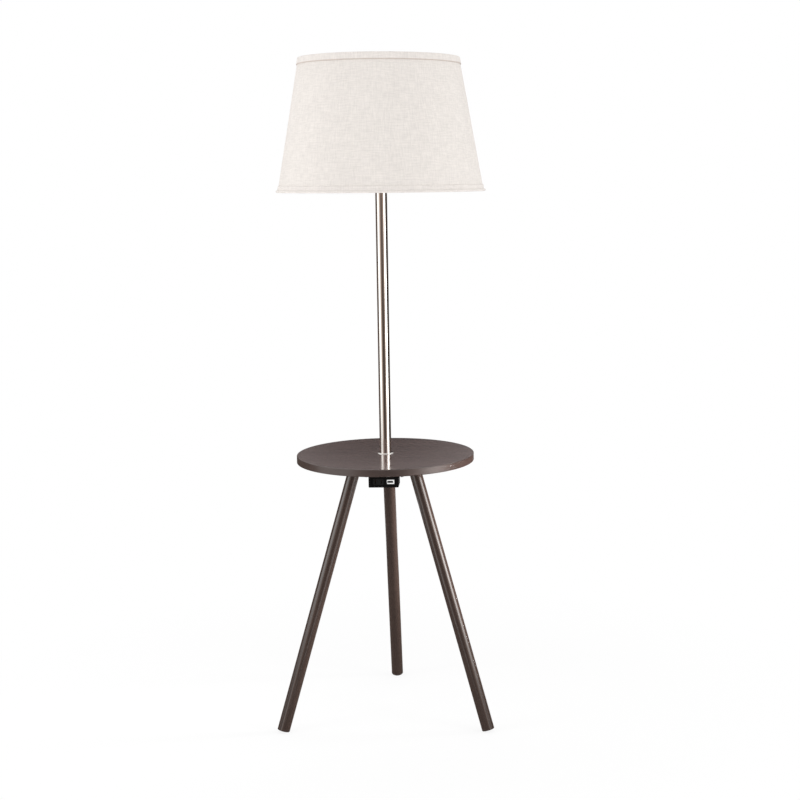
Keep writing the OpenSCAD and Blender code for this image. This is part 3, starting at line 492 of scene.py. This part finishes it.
def shade_of(name, value, text):
    """A colour property, in linear light."""
    return FloatVectorProperty(name=name, description=text, default=value, size=3,
                               min=0.0, max=1.0, subtype="COLOR")


class LampShadeSettings(bpy.types.PropertyGroup):
    """Cloth, tapes and lining of the shade."""

    linen: shade_of("Linen", (0.830, 0.782, 0.740), "Colour of the cloth")
    tape: shade_of("Tape", (0.832, 0.782, 0.742), "Colour of the tapes")
    lining: shade_of("Lining", (0.87, 0.865, 0.84), "Colour of the stiff lining")
    thread_pitch: size("Thread pitch", 0.0011, "Distance between the cloth's threads",
                       0.0004, 0.004)
    slub_strength: share("Slubs", 0.30, "How much the thick threads stand out")
    # how dark the painted shade in the gaps between the threads is
    gap_shade_strength: share("Gaps", 0.22, "How dark the gaps between the threads are")
    yarn_strength: share("Yarn", 0.055, "How uneven the yarns' colour is")
    cloth: size("Cloth", 0.0008, "Thickness of the cloth", 0.0003, 0.002)
    seam_width: size("Seam width", 0.012, "Overlap where the cloth's ends meet at the back",
                     0.004, 0.03)
    tape_thickness: size("Tape thickness", 0.0016, "Thickness of a tape with its turned-in edge",
                         0.0005, 0.003)
    wrap: size("Wrap", 0.0085, "How far a tape is turned in around the wire ring", 0.004, 0.02)
    segments: IntProperty(name="Segments", description="Steps around the shade", default=288,
                          min=48, max=720)


class LampWoodSettings(bpy.types.PropertyGroup):
    """Stain and lacquer of the table and the legs."""

    table: shade_of("Table top", (0.156, 0.105, 0.098), "Stain of the table top")
    edge: shade_of("Edge band", (0.052, 0.031, 0.026), "Stain of the table's edge band")
    leg: shade_of("Legs", (0.046, 0.029, 0.0235), "Stain of the legs")
    table_gloss: share("Table lacquer", 0.09, "Roughness of the lacquer on the table")
    table_shine: share("Table shine", 0.9, "Thickness of the lacquer on the table")
    edge_gloss: share("Edge lacquer", 0.30, "Roughness of the lacquer on the edge band")
    edge_shine: share("Edge shine", 0.8, "Thickness of the lacquer on the edge band")
    leg_gloss: share("Leg lacquer", 0.11, "Roughness of the lacquer on the legs")
    leg_shine: share("Leg shine", 0.95, "Thickness of the lacquer on the legs")


class LampMetalSettings(bpy.types.PropertyGroup):
    """Plating of the pole and the fittings."""

    nickel: shade_of("Nickel", (0.80, 0.775, 0.745), "Colour of the satin nickel")
    zinc: shade_of("Zinc", (0.50, 0.51, 0.53), "Colour of the zinc plating")
    brass: shade_of("Brass", (0.60, 0.44, 0.19), "Colour of the brass")
    satin: share("Satin", 0.10, "Roughness of the satin nickel")
    dome_width: size("Dome width", 0.005, "How far in the pole foot ring's dome reaches",
                     0.0005, 0.008)
    dome_height: size("Dome height", 0.0019, "Height of the pole foot ring's dome", 0.0003, 0.004)


class LampStudioSettings(bpy.types.PropertyGroup):
    """The light and the backdrop."""

    fill: share("World", 0.86, "Strength of the light from all round", 2.0)
    key_power: watts("Key", 24.0, "Power of the left light")
    side_power: watts("Side", 13.0, "Power of the right light")
    low_power: watts("Low", 4.0, "Power of the low right light")
    paper: share("Paper", 0.86, "How much of the floor's brightness the lights don't change")


SETTINGS = {"lamp_shade": LampShadeSettings, "lamp_wood": LampWoodSettings,
            "lamp_metal": LampMetalSettings, "lamp_studio": LampStudioSettings}


# ---------------------------------------------------------------- operators


def cloth_profile(thickness):
    """The section of the cloth: up its outer face and down its inner one."""
    rows = 40
    inset = thickness / math.cos(SLANT)
    up = line(CLOTH_R0, CLOTH_Z0, CLOTH_R1, CLOTH_Z1, rows)
    down = line(CLOTH_R1 - inset, CLOTH_Z1, CLOTH_R0 - inset, CLOTH_Z0, rows)
    return np.vstack([[CLOTH_R0, CLOTH_Z0], up, [CLOTH_R1, CLOTH_Z1],
                      [CLOTH_R1 - inset, CLOTH_Z1], down, [CLOTH_R0 - inset, CLOTH_Z0]])


class LAMP_OT_shade_cloth(bpy.types.Operator):
    """Wrap the linen round the shade, with its glued overlap at the back"""

    bl_idname = "lamp.shade_cloth"
    bl_label = "Shade cloth"

    def execute(self, context):
        settings = context.scene.lamp_shade
        profile = cloth_profile(settings.cloth)

        def shape(radius, height, angle):
            """The radius, raised over the seam's width by most of a cloth, and a ripple."""
            arc_length = radius * (angle - math.pi / 2)
            past = (np.abs(arc_length) - settings.seam_width / 2) / SEAM_EASE
            step = 0.5 - 0.5 * np.tanh(past)
            outer = radius > shade_radius(height) - settings.cloth / 2
            raised = step * settings.cloth * SEAM_RISE + ripple(angle, height, 3, 0.3 * MM)
            return radius + np.where(outer, raised, 0)

        mesh = turned_mesh("shade_linen", profile, 4 * settings.segments, shape)
        cloth = linen_material("linen", settings.linen, settings)
        piece = add_piece("shade_linen", mesh, "shade", "linen", cloth, "shade_fabric")
        return {"FINISHED"}


class LAMP_OT_shade_lining(bpy.types.Operator):
    """Line the shade with stiff white sheet"""

    bl_idname = "lamp.shade_lining"
    bl_label = "Shade lining"

    def execute(self, context):
        settings = context.scene.lamp_shade
        drop = CLOTH_R0 - LINING_OUT0
        wall = LINING_OUT0 - LINING_IN0
        rows = 24
        outer = line(CLOTH_R0 - drop, CLOTH_Z0, CLOTH_R1 - drop, CLOTH_Z1, rows)
        inner = line(CLOTH_R1 - drop - wall, CLOTH_Z1, CLOTH_R0 - drop - wall, CLOTH_Z0, rows)
        mesh = turned_mesh("shade_lining", np.vstack([outer, inner]), 2 * settings.segments)
        n = Nodes("shade_lining")
        film = n.noise(n.add("TexCoord").outputs["UV"], 260.0, 3.0, 0.6)
        cloud = n.noise(n.add("TexCoord").outputs["UV"], 12.0, 2.0, 0.5)
        n.set(Base_Color=n.blend(cloud, rgba(settings.lining, 0.97), rgba(settings.lining)))
        n.set(Roughness=n.spread(film, 0.3, 0.7, 0.5, 0.62), Normal=n.bump(film, 0.12, 0.0002))
        add_piece("shade_lining", mesh, "shade", "shade_lining", n.material, "shade_liner")
        return {"FINISHED"}


class LAMP_OT_shade_tapes(bpy.types.Operator):
    """Bind the shade's two edges with folded tape"""

    bl_idname = "lamp.shade_tapes"
    bl_label = "Shade tapes"

    def execute(self, context):
        settings = context.scene.lamp_shade
        t = settings.tape_thickness
        wrap = settings.wrap
        inset = (CLOTH_R0 - LINING_IN0) + 2 * HAIR
        # the last argument is the height of the painted shade line under the top tape's fold
        cloth = linen_material("tape", settings.tape, settings, TAPE_TOP_Z + 0.4 * MM)

        def side(offset, z):
            return [shade_radius(z) + offset, z]

        # top: a fold at the lower edge, the outer face, over the ring and down inside
        z0, z1 = TAPE_TOP_Z, SHADE_Z1
        ring = 4.0 * MM
        outer_fold, inner_fold = 1.8 * MM, 1.5 * MM
        shoulder, tuck_z, under_z = z1 - outer_fold, z1 - wrap * 0.55, z1 - 2.4 * MM
        outer_top = shade_radius(shoulder) + t
        inner_top = shade_radius(z1) - inset - ring
        tuck_r, end_r = inner_top - 0.3 * MM, shade_radius(z1 - wrap) - inset
        fold = arc(shade_radius(z0 + t / 2) + t / 2 + HAIR, z0 + t / 2, t / 2, 180, 330, 10)
        face = line(*side(t, z0 + t), outer_top, shoulder, 16)
        over = arc(outer_top - outer_fold, shoulder, outer_fold, -10, 90, 10)
        roof = line(outer_top - outer_fold, z1, inner_top + inner_fold, z1, 8)
        drop = arc(inner_top + inner_fold, z1 - inner_fold, inner_fold, 90, 180, 8)
        tail = line(inner_top, z1 - inner_fold, tuck_r, tuck_z, 8)
        tuck = line(tuck_r, tuck_z, end_r, z1 - wrap, 6)
        back = line(end_r + HAIR, z1 - wrap, shade_radius(z1 - 3 * MM) - 2 * HAIR, under_z, 10)
        down = line(*side(HAIR, under_z), *side(HAIR, z0 + t / 2), 16)
        top = np.vstack([fold, face, over, roof, drop, tail, tuck, back, down])

        def soft(seed, depth):
            return lambda radius, height, angle: radius + ripple(angle, height, seed, depth)

        mesh = turned_mesh("tape_top", top, 2 * settings.segments, soft(11, 0.12 * MM))
        add_piece("tape_top", mesh, "shade", "linen_tape", cloth, "shade_trim_top")

        # bottom: a fold at the upper edge, the face, the rolled lip and the turned-in edge
        z0, z1 = SHADE_Z0, TAPE_LOW_Z
        bead, bend = 2.5 * MM, 1.0 * MM
        lip_r, lip_z = LIP_R - bead, z0 + bead + 2 * HAIR
        turn_r, end_r = shade_radius(z0) - inset - ring, shade_radius(z0 + wrap) - inset
        above = z0 + 2.2 * MM
        fold = arc(shade_radius(z1 - t / 2) + t / 2 + HAIR, z1 - t / 2, t / 2, 30, 180, 10)[::-1]
        face = line(*side(t, z1 - t), *side(t * 0.9, lip_z + bead * 1.5), 14)
        neck_end = (lip_r + bead * 0.55, lip_z + bead * 0.86)
        neck = line(*side(t * 0.8, lip_z + bead * 1.35), *neck_end, 4)
        roll = arc(lip_r, lip_z, bead, 50, -100, 22)
        under = line(lip_r - bead * 0.2, lip_z - bead, turn_r, z0 + 2 * HAIR, 8)
        turn = arc(turn_r, z0 + bend + 2 * HAIR, bend, -90, -180, 6)
        inside = line(turn_r - bend, z0 + 1.6 * MM, end_r, z0 + wrap, 8)
        back = line(end_r + HAIR, z0 + wrap, *side(HAIR, above), 8)
        up = line(*side(HAIR, above), *side(HAIR, z1 - t / 2), 12)
        low = np.vstack([fold, face, neck, roll, under, turn, inside, back, up])[::-1]
        mesh = turned_mesh("tape_bottom", low, 2 * settings.segments, soft(12, 0.15 * MM))
        add_piece("tape_bottom", mesh, "shade", "linen_tape", cloth, "shade_trim_bottom")
        return {"FINISHED"}


class LAMP_OT_bulb(bpy.types.Operator):
    """Roll the thread of the bulb's base, with its insulated tip"""

    bl_idname = "lamp.bulb"
    bl_label = "Bulb base"

    def execute(self, context):
        low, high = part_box("bulb_base")
        radius, z0, z1 = high.x, low.z, high.z
        pitch, depth = 3.63 * MM, 0.55 * MM
        steps, segments = 160, 96
        tip_height = 4.6 * MM
        t = np.linspace(0, 1, steps)
        z = z0 + tip_height + (z1 - z0 - tip_height) * t
        angle = np.arange(segments) * TAU / segments
        ends = np.clip(np.minimum(t / 0.12, (1 - t) / 0.14), 0, 1)[:, None]
        wave = 0.5 + 0.5 * np.cos(TAU * z[:, None] / pitch - angle[None, :])
        r = radius - 0.3 * MM - depth * (1 - ends * wave)
        heights = np.repeat(z[:, None], segments, 1)
        shell = np.stack([r * np.cos(angle), r * np.sin(angle), heights], 2)
        button = [[2.8 * MM, z0], [3.4 * MM, z0 + 0.4 * MM]]
        rounded = arc(3.4 * MM, z0 + 4.4 * MM, 4.0 * MM, -90, -60, 3)
        cone = line(5.8 * MM, z0 + 1.2 * MM, radius - 1.8 * MM, z0 + 4.2 * MM, 8)
        tip_profile = np.vstack([button, rounded, cone])
        tip = turned_grid(tip_profile, segments)
        points = np.concatenate([tip, shell])
        uv = np.zeros((len(points), segments + 1, 2))
        caps = [(0, (0, 0, z0), False), (len(points) - 1, (0, 0, z1), True)]
        mesh = mesh_from_grid("bulb_screw", points, uv, False, True, caps)
        metal = metal_material("bulb_nickel", (0.62, 0.61, 0.60), 0.18, (300, 300, 2400))
        add_piece("bulb_screw", mesh, "bulb", "nickel_bright", metal, "bulb_base")
        return {"FINISHED"}


class LAMP_OT_flange(bpy.types.Operator):
    """Turn the domed ring at the pole's foot"""

    bl_idname = "lamp.flange"
    bl_label = "Pole foot ring"

    def execute(self, context):
        settings = context.scene.lamp_metal
        points = cad_points("pole_flange")
        radii = np.hypot(points[:, 0], points[:, 1])
        rim, z0 = radii.max(), points[:, 2].min()
        z1 = points[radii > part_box("pole")[1].x + MM][:, 2].max()
        spigot_z, bore, spigot = cad_rim("pole_flange", True)
        turn = np.radians(np.linspace(0, 90, 14))
        lip, segments = 0.2 * MM, 192
        wide, tall = settings.dome_width, min(settings.dome_height, z1 - z0 - lip)
        dome = np.stack([rim - wide * (1 - np.cos(turn)), z1 - tall * (1 - np.sin(turn))], 1)
        top = line(*dome[-1], spigot, z1, 4)
        collar = [[spigot, z1], [spigot, spigot_z], [bore, spigot_z], [bore, z0]]
        profile = np.vstack([[rim, z0 + lip], dome, top, collar, [rim - lip, z0]])
        mesh = turned_mesh("pole_foot_ring", profile, segments)
        metal = metal_material("ring_nickel", settings.nickel, settings.satin * 0.6, (30, 30, 900),
                               wear=0.04, bump=0.01)
        add_piece("pole_foot_ring", mesh, "stand", "satin_nickel", metal, "pole_flange")
        return {"FINISHED"}


class LAMP_OT_wood(bpy.types.Operator):
    """Stain and lacquer the table top, its edge band and the legs"""

    bl_idname = "lamp.wood"
    bl_label = "Wood"

    def execute(self, context):
        s = context.scene.lamp_wood
        board, tip = flat_grain(math.radians(4)), 20 * MM
        give(wood_material("table_wood", s.table, s.table_gloss, s.table_shine, board), "table_top")
        rim = rim_grain(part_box("table_band")[1].x)
        give(wood_material("edge_wood", s.edge, s.edge_gloss, s.edge_shine, rim), "table_band")
        for side in ("left", "right", "back"):
            points = cad_points("leg_" + side)
            foot = points[points[:, 2] < points[:, 2].min() + tip].mean(0)
            head = points[points[:, 2] > points[:, 2].max() - tip].mean(0)
            azimuth = math.atan2(foot[1], foot[0])
            splay = math.atan2(math.hypot(*(foot - head)[:2]), head[2] - foot[2])
            grain = leg_grain(azimuth, splay)
            name = "leg_wood_" + side
            give(wood_material(name, s.leg, s.leg_gloss, s.leg_shine, grain), "leg_" + side)
        return {"FINISHED"}


class LAMP_OT_metal(bpy.types.Operator):
    """Plate the pole, the fittings and the screws"""

    bl_idname = "lamp.metal"
    bl_label = "Metal"

    def execute(self, context):
        s = context.scene.lamp_metal
        finishes = {
            ("pole", "pole_cap"): metal_material(
                "satin_nickel", s.nickel, s.satin, (900, 900, 25), 0.03, 0.0005, 0.04),
            ("finial",): metal_material("bright_nickel", s.nickel, s.satin * 0.6, (30, 30, 900)),
            ("harp",): metal_material("harp_nickel", s.nickel, 0.2, (500, 500, 60)),
            ("leg_plate_left", "leg_plate_right", "leg_plate_back", "clamp_washer", "lock_washer"):
                metal_material("zinc_plate", s.zinc, 0.36, (60, 60, 60), 0.2, 0.1),
            ("leg_bolts", "plate_screws", "power_screws", "tie_nut"):
                metal_material("zinc_turned", s.zinc, 0.3, (60, 60, 900), 0.12, 0.1),
            ("tie_rod",): metal_material("zinc_thread", s.zinc, 0.34, (20, 20, 1000), 0.2, 0.6),
            ("saddle", "socket_cap", "socket_shell", "screw_shell", "center_contact", "harp_stud",
             "ferrule_left", "ferrule_right", "plug_contacts"):
                metal_material("brass", s.brass, 0.24, (80, 80, 900), 0.18),
        }
        for nodes, material in finishes.items():
            give(material, *nodes)
        return {"FINISHED"}


class LAMP_OT_plastic(bpy.types.Operator):
    """Mould the outlet and the socket's plastic, and finish the small parts"""

    bl_idname = "lamp.plastic"
    bl_label = "Plastic and small parts"

    def execute(self, context):
        black = (0.0045, 0.004, 0.004)
        finishes = {
            ("power_housing", "power_cover", "power_inlet"):
                plastic_material("black_case", black, 0.42, shine=0.12),
            ("plug_insert", "port_tongue"):
                plastic_material("black_insert", (0.010, 0.0095, 0.0095), 0.34, shine=0.2),
            ("switch_knob", "switch_block", "rod_bushing"):
                plastic_material("black_moulding", black, 0.38, 1500.0),
            ("port_frame",):
                plastic_material("white_port", (0.88, 0.88, 0.87), 0.25, 1500.0, 0.08, 0.02, 0.3),
            ("lamp_wire",):
                plastic_material("wire_jacket", (0.76, 0.76, 0.72), 0.4, 800.0, 0.1, 0.04),
            ("socket_sleeve",):
                plastic_material("fibre", (0.46, 0.37, 0.24), 0.85, 900.0, 0.4, 0.15),
            ("shade_fitter", "shade_ring"):
                plastic_material("white_enamel", (0.83, 0.83, 0.81), 0.3, 500.0, 0.06, 0.03, 0.4),
            ("bulb_glass",): glass_material("bulb_glass", (0.92, 0.92, 0.9)),
            ("power_board",): board_material("circuit_board", (0.02, 0.14, 0.06)),
        }
        for nodes, material in finishes.items():
            give(material, *nodes)
        return {"FINISHED"}


def aimed(location, target):
    """A placement whose -Z points from a place to a target, with +Y up."""
    back = np.array(location, float) - np.array(target, float)
    back /= np.linalg.norm(back)
    right = np.cross((0, 0, 1), back)
    right /= np.linalg.norm(right)
    up = np.cross(back, right)
    turn = Matrix(np.stack([right, up, back], 1).tolist()).to_4x4()
    return Matrix.Translation(location) @ turn


def light_path_white(tree, keep=None):
    """1 for rays from the camera, mirrors and glass, times keep if given, and 0 for the rest."""
    path = tree.nodes.new("ShaderNodeLightPath")
    value = path.outputs["Is Camera Ray"]
    for name in ("Is Glossy Ray", "Is Transmission Ray"):
        either = tree.nodes.new("ShaderNodeMath")
        either.operation = "MAXIMUM"
        tree.links.new(value, either.inputs[0])
        tree.links.new(path.outputs[name], either.inputs[1])
        value = either.outputs[0]
    if keep is None:
        return value
    scaled = tree.nodes.new("ShaderNodeMath")
    scaled.operation = "MULTIPLY"
    tree.links.new(value, scaled.inputs[0])
    tree.links.new(keep, scaled.inputs[1])
    return scaled.outputs[0]


def softbox(name, azimuth, distance, height, width, tall, power):
    """A soft light aimed at the lamp. Azimuth is in degrees from the front, to the right."""
    a = math.radians(azimuth)
    lamp = bpy.data.lights.new(name, "AREA")
    lamp.shape, lamp.size, lamp.size_y = "RECTANGLE", width, tall
    lamp.energy = power
    light = bpy.data.objects.new(name, lamp)
    light.visible_glossy = False
    place = (distance * math.sin(a), -distance * math.cos(a), height)
    light.matrix_world = aimed(place, (0, 0, min(height, 0.9)))
    bpy.context.scene.collection.objects.link(light)
    return light


def only_mirrored(card):
    """Shows an object to glossy rays alone."""
    card.visible_camera = card.visible_diffuse = card.visible_shadow = False
    card.visible_transmission = False


def card(name, azimuths, distance, heights, glows, core, reach, tint, curve=2.0, soft=None):
    """A card outside the picture, which only polished surfaces mirror, as in a product studio.

    It stands between two azimuths, in degrees from the front to the right, and two
    heights. Its glow is the first of its two in the middle, up to the height of its
    core, and fades to the second with a power, the curve, of the length of (across, up
    from the core), each divided by its reach in metres. soft gives the widths of the
    strips at its sides and its top in which it fades to the level of the surround.
    """
    start, end = (math.radians(a) for a in azimuths)
    middle, half = (start + end) / 2, (end - start) / 2
    centre = distance * np.array((math.sin(middle), -math.cos(middle), 0))
    across = np.array((math.cos(middle), math.sin(middle), 0))
    side = across * distance * math.tan(half)
    low, high = ((0, 0, z) for z in heights)
    points = [centre - side + low, centre + side + low, centre + side + high, centre - side + high]
    mesh = bpy.data.meshes.new(name)
    mesh.from_pydata([tuple(p) for p in points], [], [(0, 1, 2, 3)])
    n = Nodes(name)
    place = n.add("TexCoord").outputs["Object"]
    height = n.add("SeparateXYZ", {0: place}).outputs[2]
    dot = n.add("VectorMath", {0: place, 1: tuple(across)}, operation="DOT_PRODUCT")
    along = dot.outputs["Value"]
    level = n.math("DIVIDE", along, reach[0])
    up = n.spread(height, core, core + reach[1], 0.0, 1.0)
    pair = n.add("CombineXYZ", {0: level, 1: up}).outputs[0]
    out = n.add("VectorMath", {0: pair}, operation="LENGTH").outputs["Value"]
    fade = n.math("POWER", n.spread(out, 0.0, 1.0, 0.0, 1.0), curve)
    strength = n.spread(fade, 0.0, 1.0, *glows)
    if soft is not None:
        edge, top = distance * math.tan(half), heights[1]
        sides = n.spread(n.math("ABSOLUTE", along), edge - soft[0], edge, 0.0, 1.0)
        rim = n.math("MAXIMUM", sides, n.spread(height, top - soft[1], top, 0.0, 1.0))
        lack = n.math("SUBTRACT", SURROUND, strength)
        strength = n.math("ADD", strength, n.math("MULTIPLY", rim, lack))
    n.glow(rgba(tint), strength)
    mesh.materials.append(n.material)
    board = bpy.data.objects.new(name, mesh)
    bpy.context.scene.collection.objects.link(board)
    only_mirrored(board)


class LAMP_OT_studio(bpy.types.Operator):
    """Build the white paper floor, the white surround, the lights and the mirrored cards"""

    bl_idname = "lamp.studio"
    bl_label = "Studio"

    def execute(self, context):
        s = context.scene.lamp_studio
        world = bpy.data.worlds.new("surround")
        context.scene.world = world
        world.use_nodes = True
        tree = world.node_tree
        fill = tree.nodes["Background"]
        fill.inputs["Strength"].default_value = s.fill
        white = tree.nodes.new("ShaderNodeBackground")
        white.inputs["Color"].default_value = (1, 1, 1, 1)
        white.inputs["Strength"].default_value = SURROUND
        mixed = tree.nodes.new("ShaderNodeMixShader")
        fill.inputs["Color"].default_value = (1, 1, 1, 1)
        tree.links.new(light_path_white(tree), mixed.inputs[0])
        tree.links.new(fill.outputs[0], mixed.inputs[1])
        tree.links.new(white.outputs[0], mixed.inputs[2])
        tree.links.new(mixed.outputs[0], tree.nodes["World Output"].inputs[0])

        half = 8.0
        mesh = bpy.data.meshes.new("floor")
        corners = [(-half, -half, 0), (half, -half, 0), (half, half, 0), (-half, half, 0)]
        mesh.from_pydata(corners, [], [(0, 1, 2, 3)])
        floor = bpy.data.objects.new("floor", mesh)
        context.scene.collection.objects.link(floor)
        n = Nodes("paper")
        grain = n.noise(n.place((300, 300, 300)), 1.0, 2.0, 0.5)
        n.set(Base_Color=(0.95, 0.95, 0.95, 1), Roughness=0.9, Normal=n.bump(grain, 0.05, 0.0002))
        glow = n.add("Emission", {"Color": (1, 1, 1, 1), "Strength": SURROUND})
        away = n.add("VectorMath", {0: n.place((1, 1, 0))}, operation="LENGTH").outputs["Value"]
        both = n.add("MixShader")
        near, far = 0.35, 1.1
        lit = light_path_white(n.tree, n.spread(away, near, far, s.paper, 1.0))
        n.tree.links.new(lit, both.inputs[0])
        n.tree.links.new(n.surface.outputs[0], both.inputs[1])
        n.tree.links.new(glow.outputs[0], both.inputs[2])
        n.tree.links.new(both.outputs[0], n.tree.nodes["Material Output"].inputs[0])
        mesh.materials.append(n.material)

        # a dim, warm glowing disc round the lamp that only mirrors see: a painted dark reflection
        # of the floor in the legs and the table
        z, segments, dim = 2 * MM, 64, 0.14
        floor_card = turned_grid(np.array([[1.25, z], [0.02, z]]), segments)
        no_uv, centre = np.zeros((2, segments + 1, 2)), [(1, (0, 0, z), True)]
        mesh = mesh_from_grid("card_floor", floor_card, no_uv, False, True, centre)
        n = Nodes("card_floor")
        n.glow(rgba((1.0, 0.80, 0.70)), dim)
        mesh.materials.append(n.material)
        floor_card = bpy.data.objects.new("card_floor", mesh)
        context.scene.collection.objects.link(floor_card)
        only_mirrored(floor_card)

        softbox("key", -62, 2.9, 1.3, 1.0, 2.2, s.key_power)
        softbox("side", 62, 2.3, 1.15, 0.6, 1.9, s.side_power)
        low = softbox("low_side", 96, 1.6, 0.42, 0.4, 0.3, s.low_power)
        low.data.spread = math.radians(36)
        brown, warm = (1.0, 0.76, 0.64), (1.0, 0.985, 0.96)
        rose = (1.0, 0.90, 0.88)
        cards = (
            ("card_front", (-38, 44), 1.6, (-0.05, 1.45), (0.05, 0.7), 0.4, (1.3, 1.8), brown),
            ("card_left", (-160, -87), 1.3, (-0.05, 1.3), (0.12, 0.12), 4.0, (9.0, 1.0), brown),
            ("card_right", (81, 160), 1.3, (-0.05, 1.3), (0.06, 0.06), 4.0, (9.0, 1.0), brown),
            ("card_behind", (160, 210), 3.0, (-0.05, 1.9), (0.0, 0.34), 1.07, (0.7, 0.28), rose),
            ("card_key", (-86, -47), 1.3, (-0.05, 1.6), (0.2, 1.8), 0.22, (99.0, 0.38), warm,
             1.0, (0.16, 0.6)),
            ("card_side", (48, 83), 1.3, (-0.05, 1.3), (0.3, 6.4), 0.24, (99.0, 0.38), warm,
             1.0, (0.18, 0.6)),
        )
        for board in cards:
            card(*board)
        return {"FINISHED"}


class LAMP_OT_camera(bpy.types.Operator):
    """Set the camera at the photograph's viewpoint"""

    bl_idname = "lamp.camera"
    bl_label = "Camera"

    def execute(self, context):
        yaw, pitch, roll = (math.radians(a) for a in (-0.729, 7.547, -0.511))
        ahead = math.cos(pitch)
        forward = np.array((math.sin(yaw) * ahead, math.cos(yaw) * ahead, -math.sin(pitch)))
        level = np.array((math.cos(yaw), -math.sin(yaw), 0))
        upright = np.cross(level, forward)
        right = math.cos(roll) * level + math.sin(roll) * upright
        up = math.cos(roll) * upright - math.sin(roll) * level
        lens = bpy.data.cameras.new("camera")
        lens.sensor_width, lens.lens = 36.0, 68.67
        lens.shift_x, lens.shift_y = -0.1, -0.03
        lens.clip_start, lens.clip_end = 0.05, 60.0
        camera = bpy.data.objects.new("camera", lens)
        turn = Matrix(np.stack([right, up, -forward], 1).tolist()).to_4x4()
        camera.matrix_world = Matrix.Translation((0.2564, -3.3708, 1.2213)) @ turn
        context.scene.collection.objects.link(camera)
        context.scene.camera = camera
        context.scene.view_settings.view_transform = "Standard"
        return {"FINISHED"}


class LAMP_PT_panel(bpy.types.Panel):
    """The lamp's settings, and a button for each step"""

    bl_label = "Floor Lamp"
    bl_idname = "LAMP_PT_panel"
    bl_space_type = "VIEW_3D"
    bl_region_type = "UI"
    bl_category = "Lamp"

    def draw(self, context):
        for group, kind in SETTINGS.items():
            box = self.layout.box()
            for name in kind.__annotations__:
                box.prop(getattr(context.scene, group), name)
        for operator in OPERATORS:
            self.layout.operator(operator.bl_idname)


OPERATORS = (LAMP_OT_camera, LAMP_OT_studio, LAMP_OT_shade_cloth, LAMP_OT_shade_lining,
             LAMP_OT_shade_tapes, LAMP_OT_bulb, LAMP_OT_flange, LAMP_OT_wood, LAMP_OT_metal,
             LAMP_OT_plastic)


def register():
    """Registers the settings, the operators and the panel."""
    for kind in (*SETTINGS.values(), *OPERATORS, LAMP_PT_panel):
        bpy.utils.register_class(kind)
    for group, kind in SETTINGS.items():
        setattr(bpy.types.Scene, group, PointerProperty(type=kind))


def unregister():
    """Takes back what register() did."""
    for group in SETTINGS:
        delattr(bpy.types.Scene, group)
    for kind in reversed((*SETTINGS.values(), *OPERATORS, LAMP_PT_panel)):
        bpy.utils.unregister_class(kind)


def main():
    """Builds the lamp's looks step by step."""
    register()
    for operator in OPERATORS:
        group, name = operator.bl_idname.split(".")
        getattr(getattr(bpy.ops, group), name)()


if __name__ == "__main__":
    main()
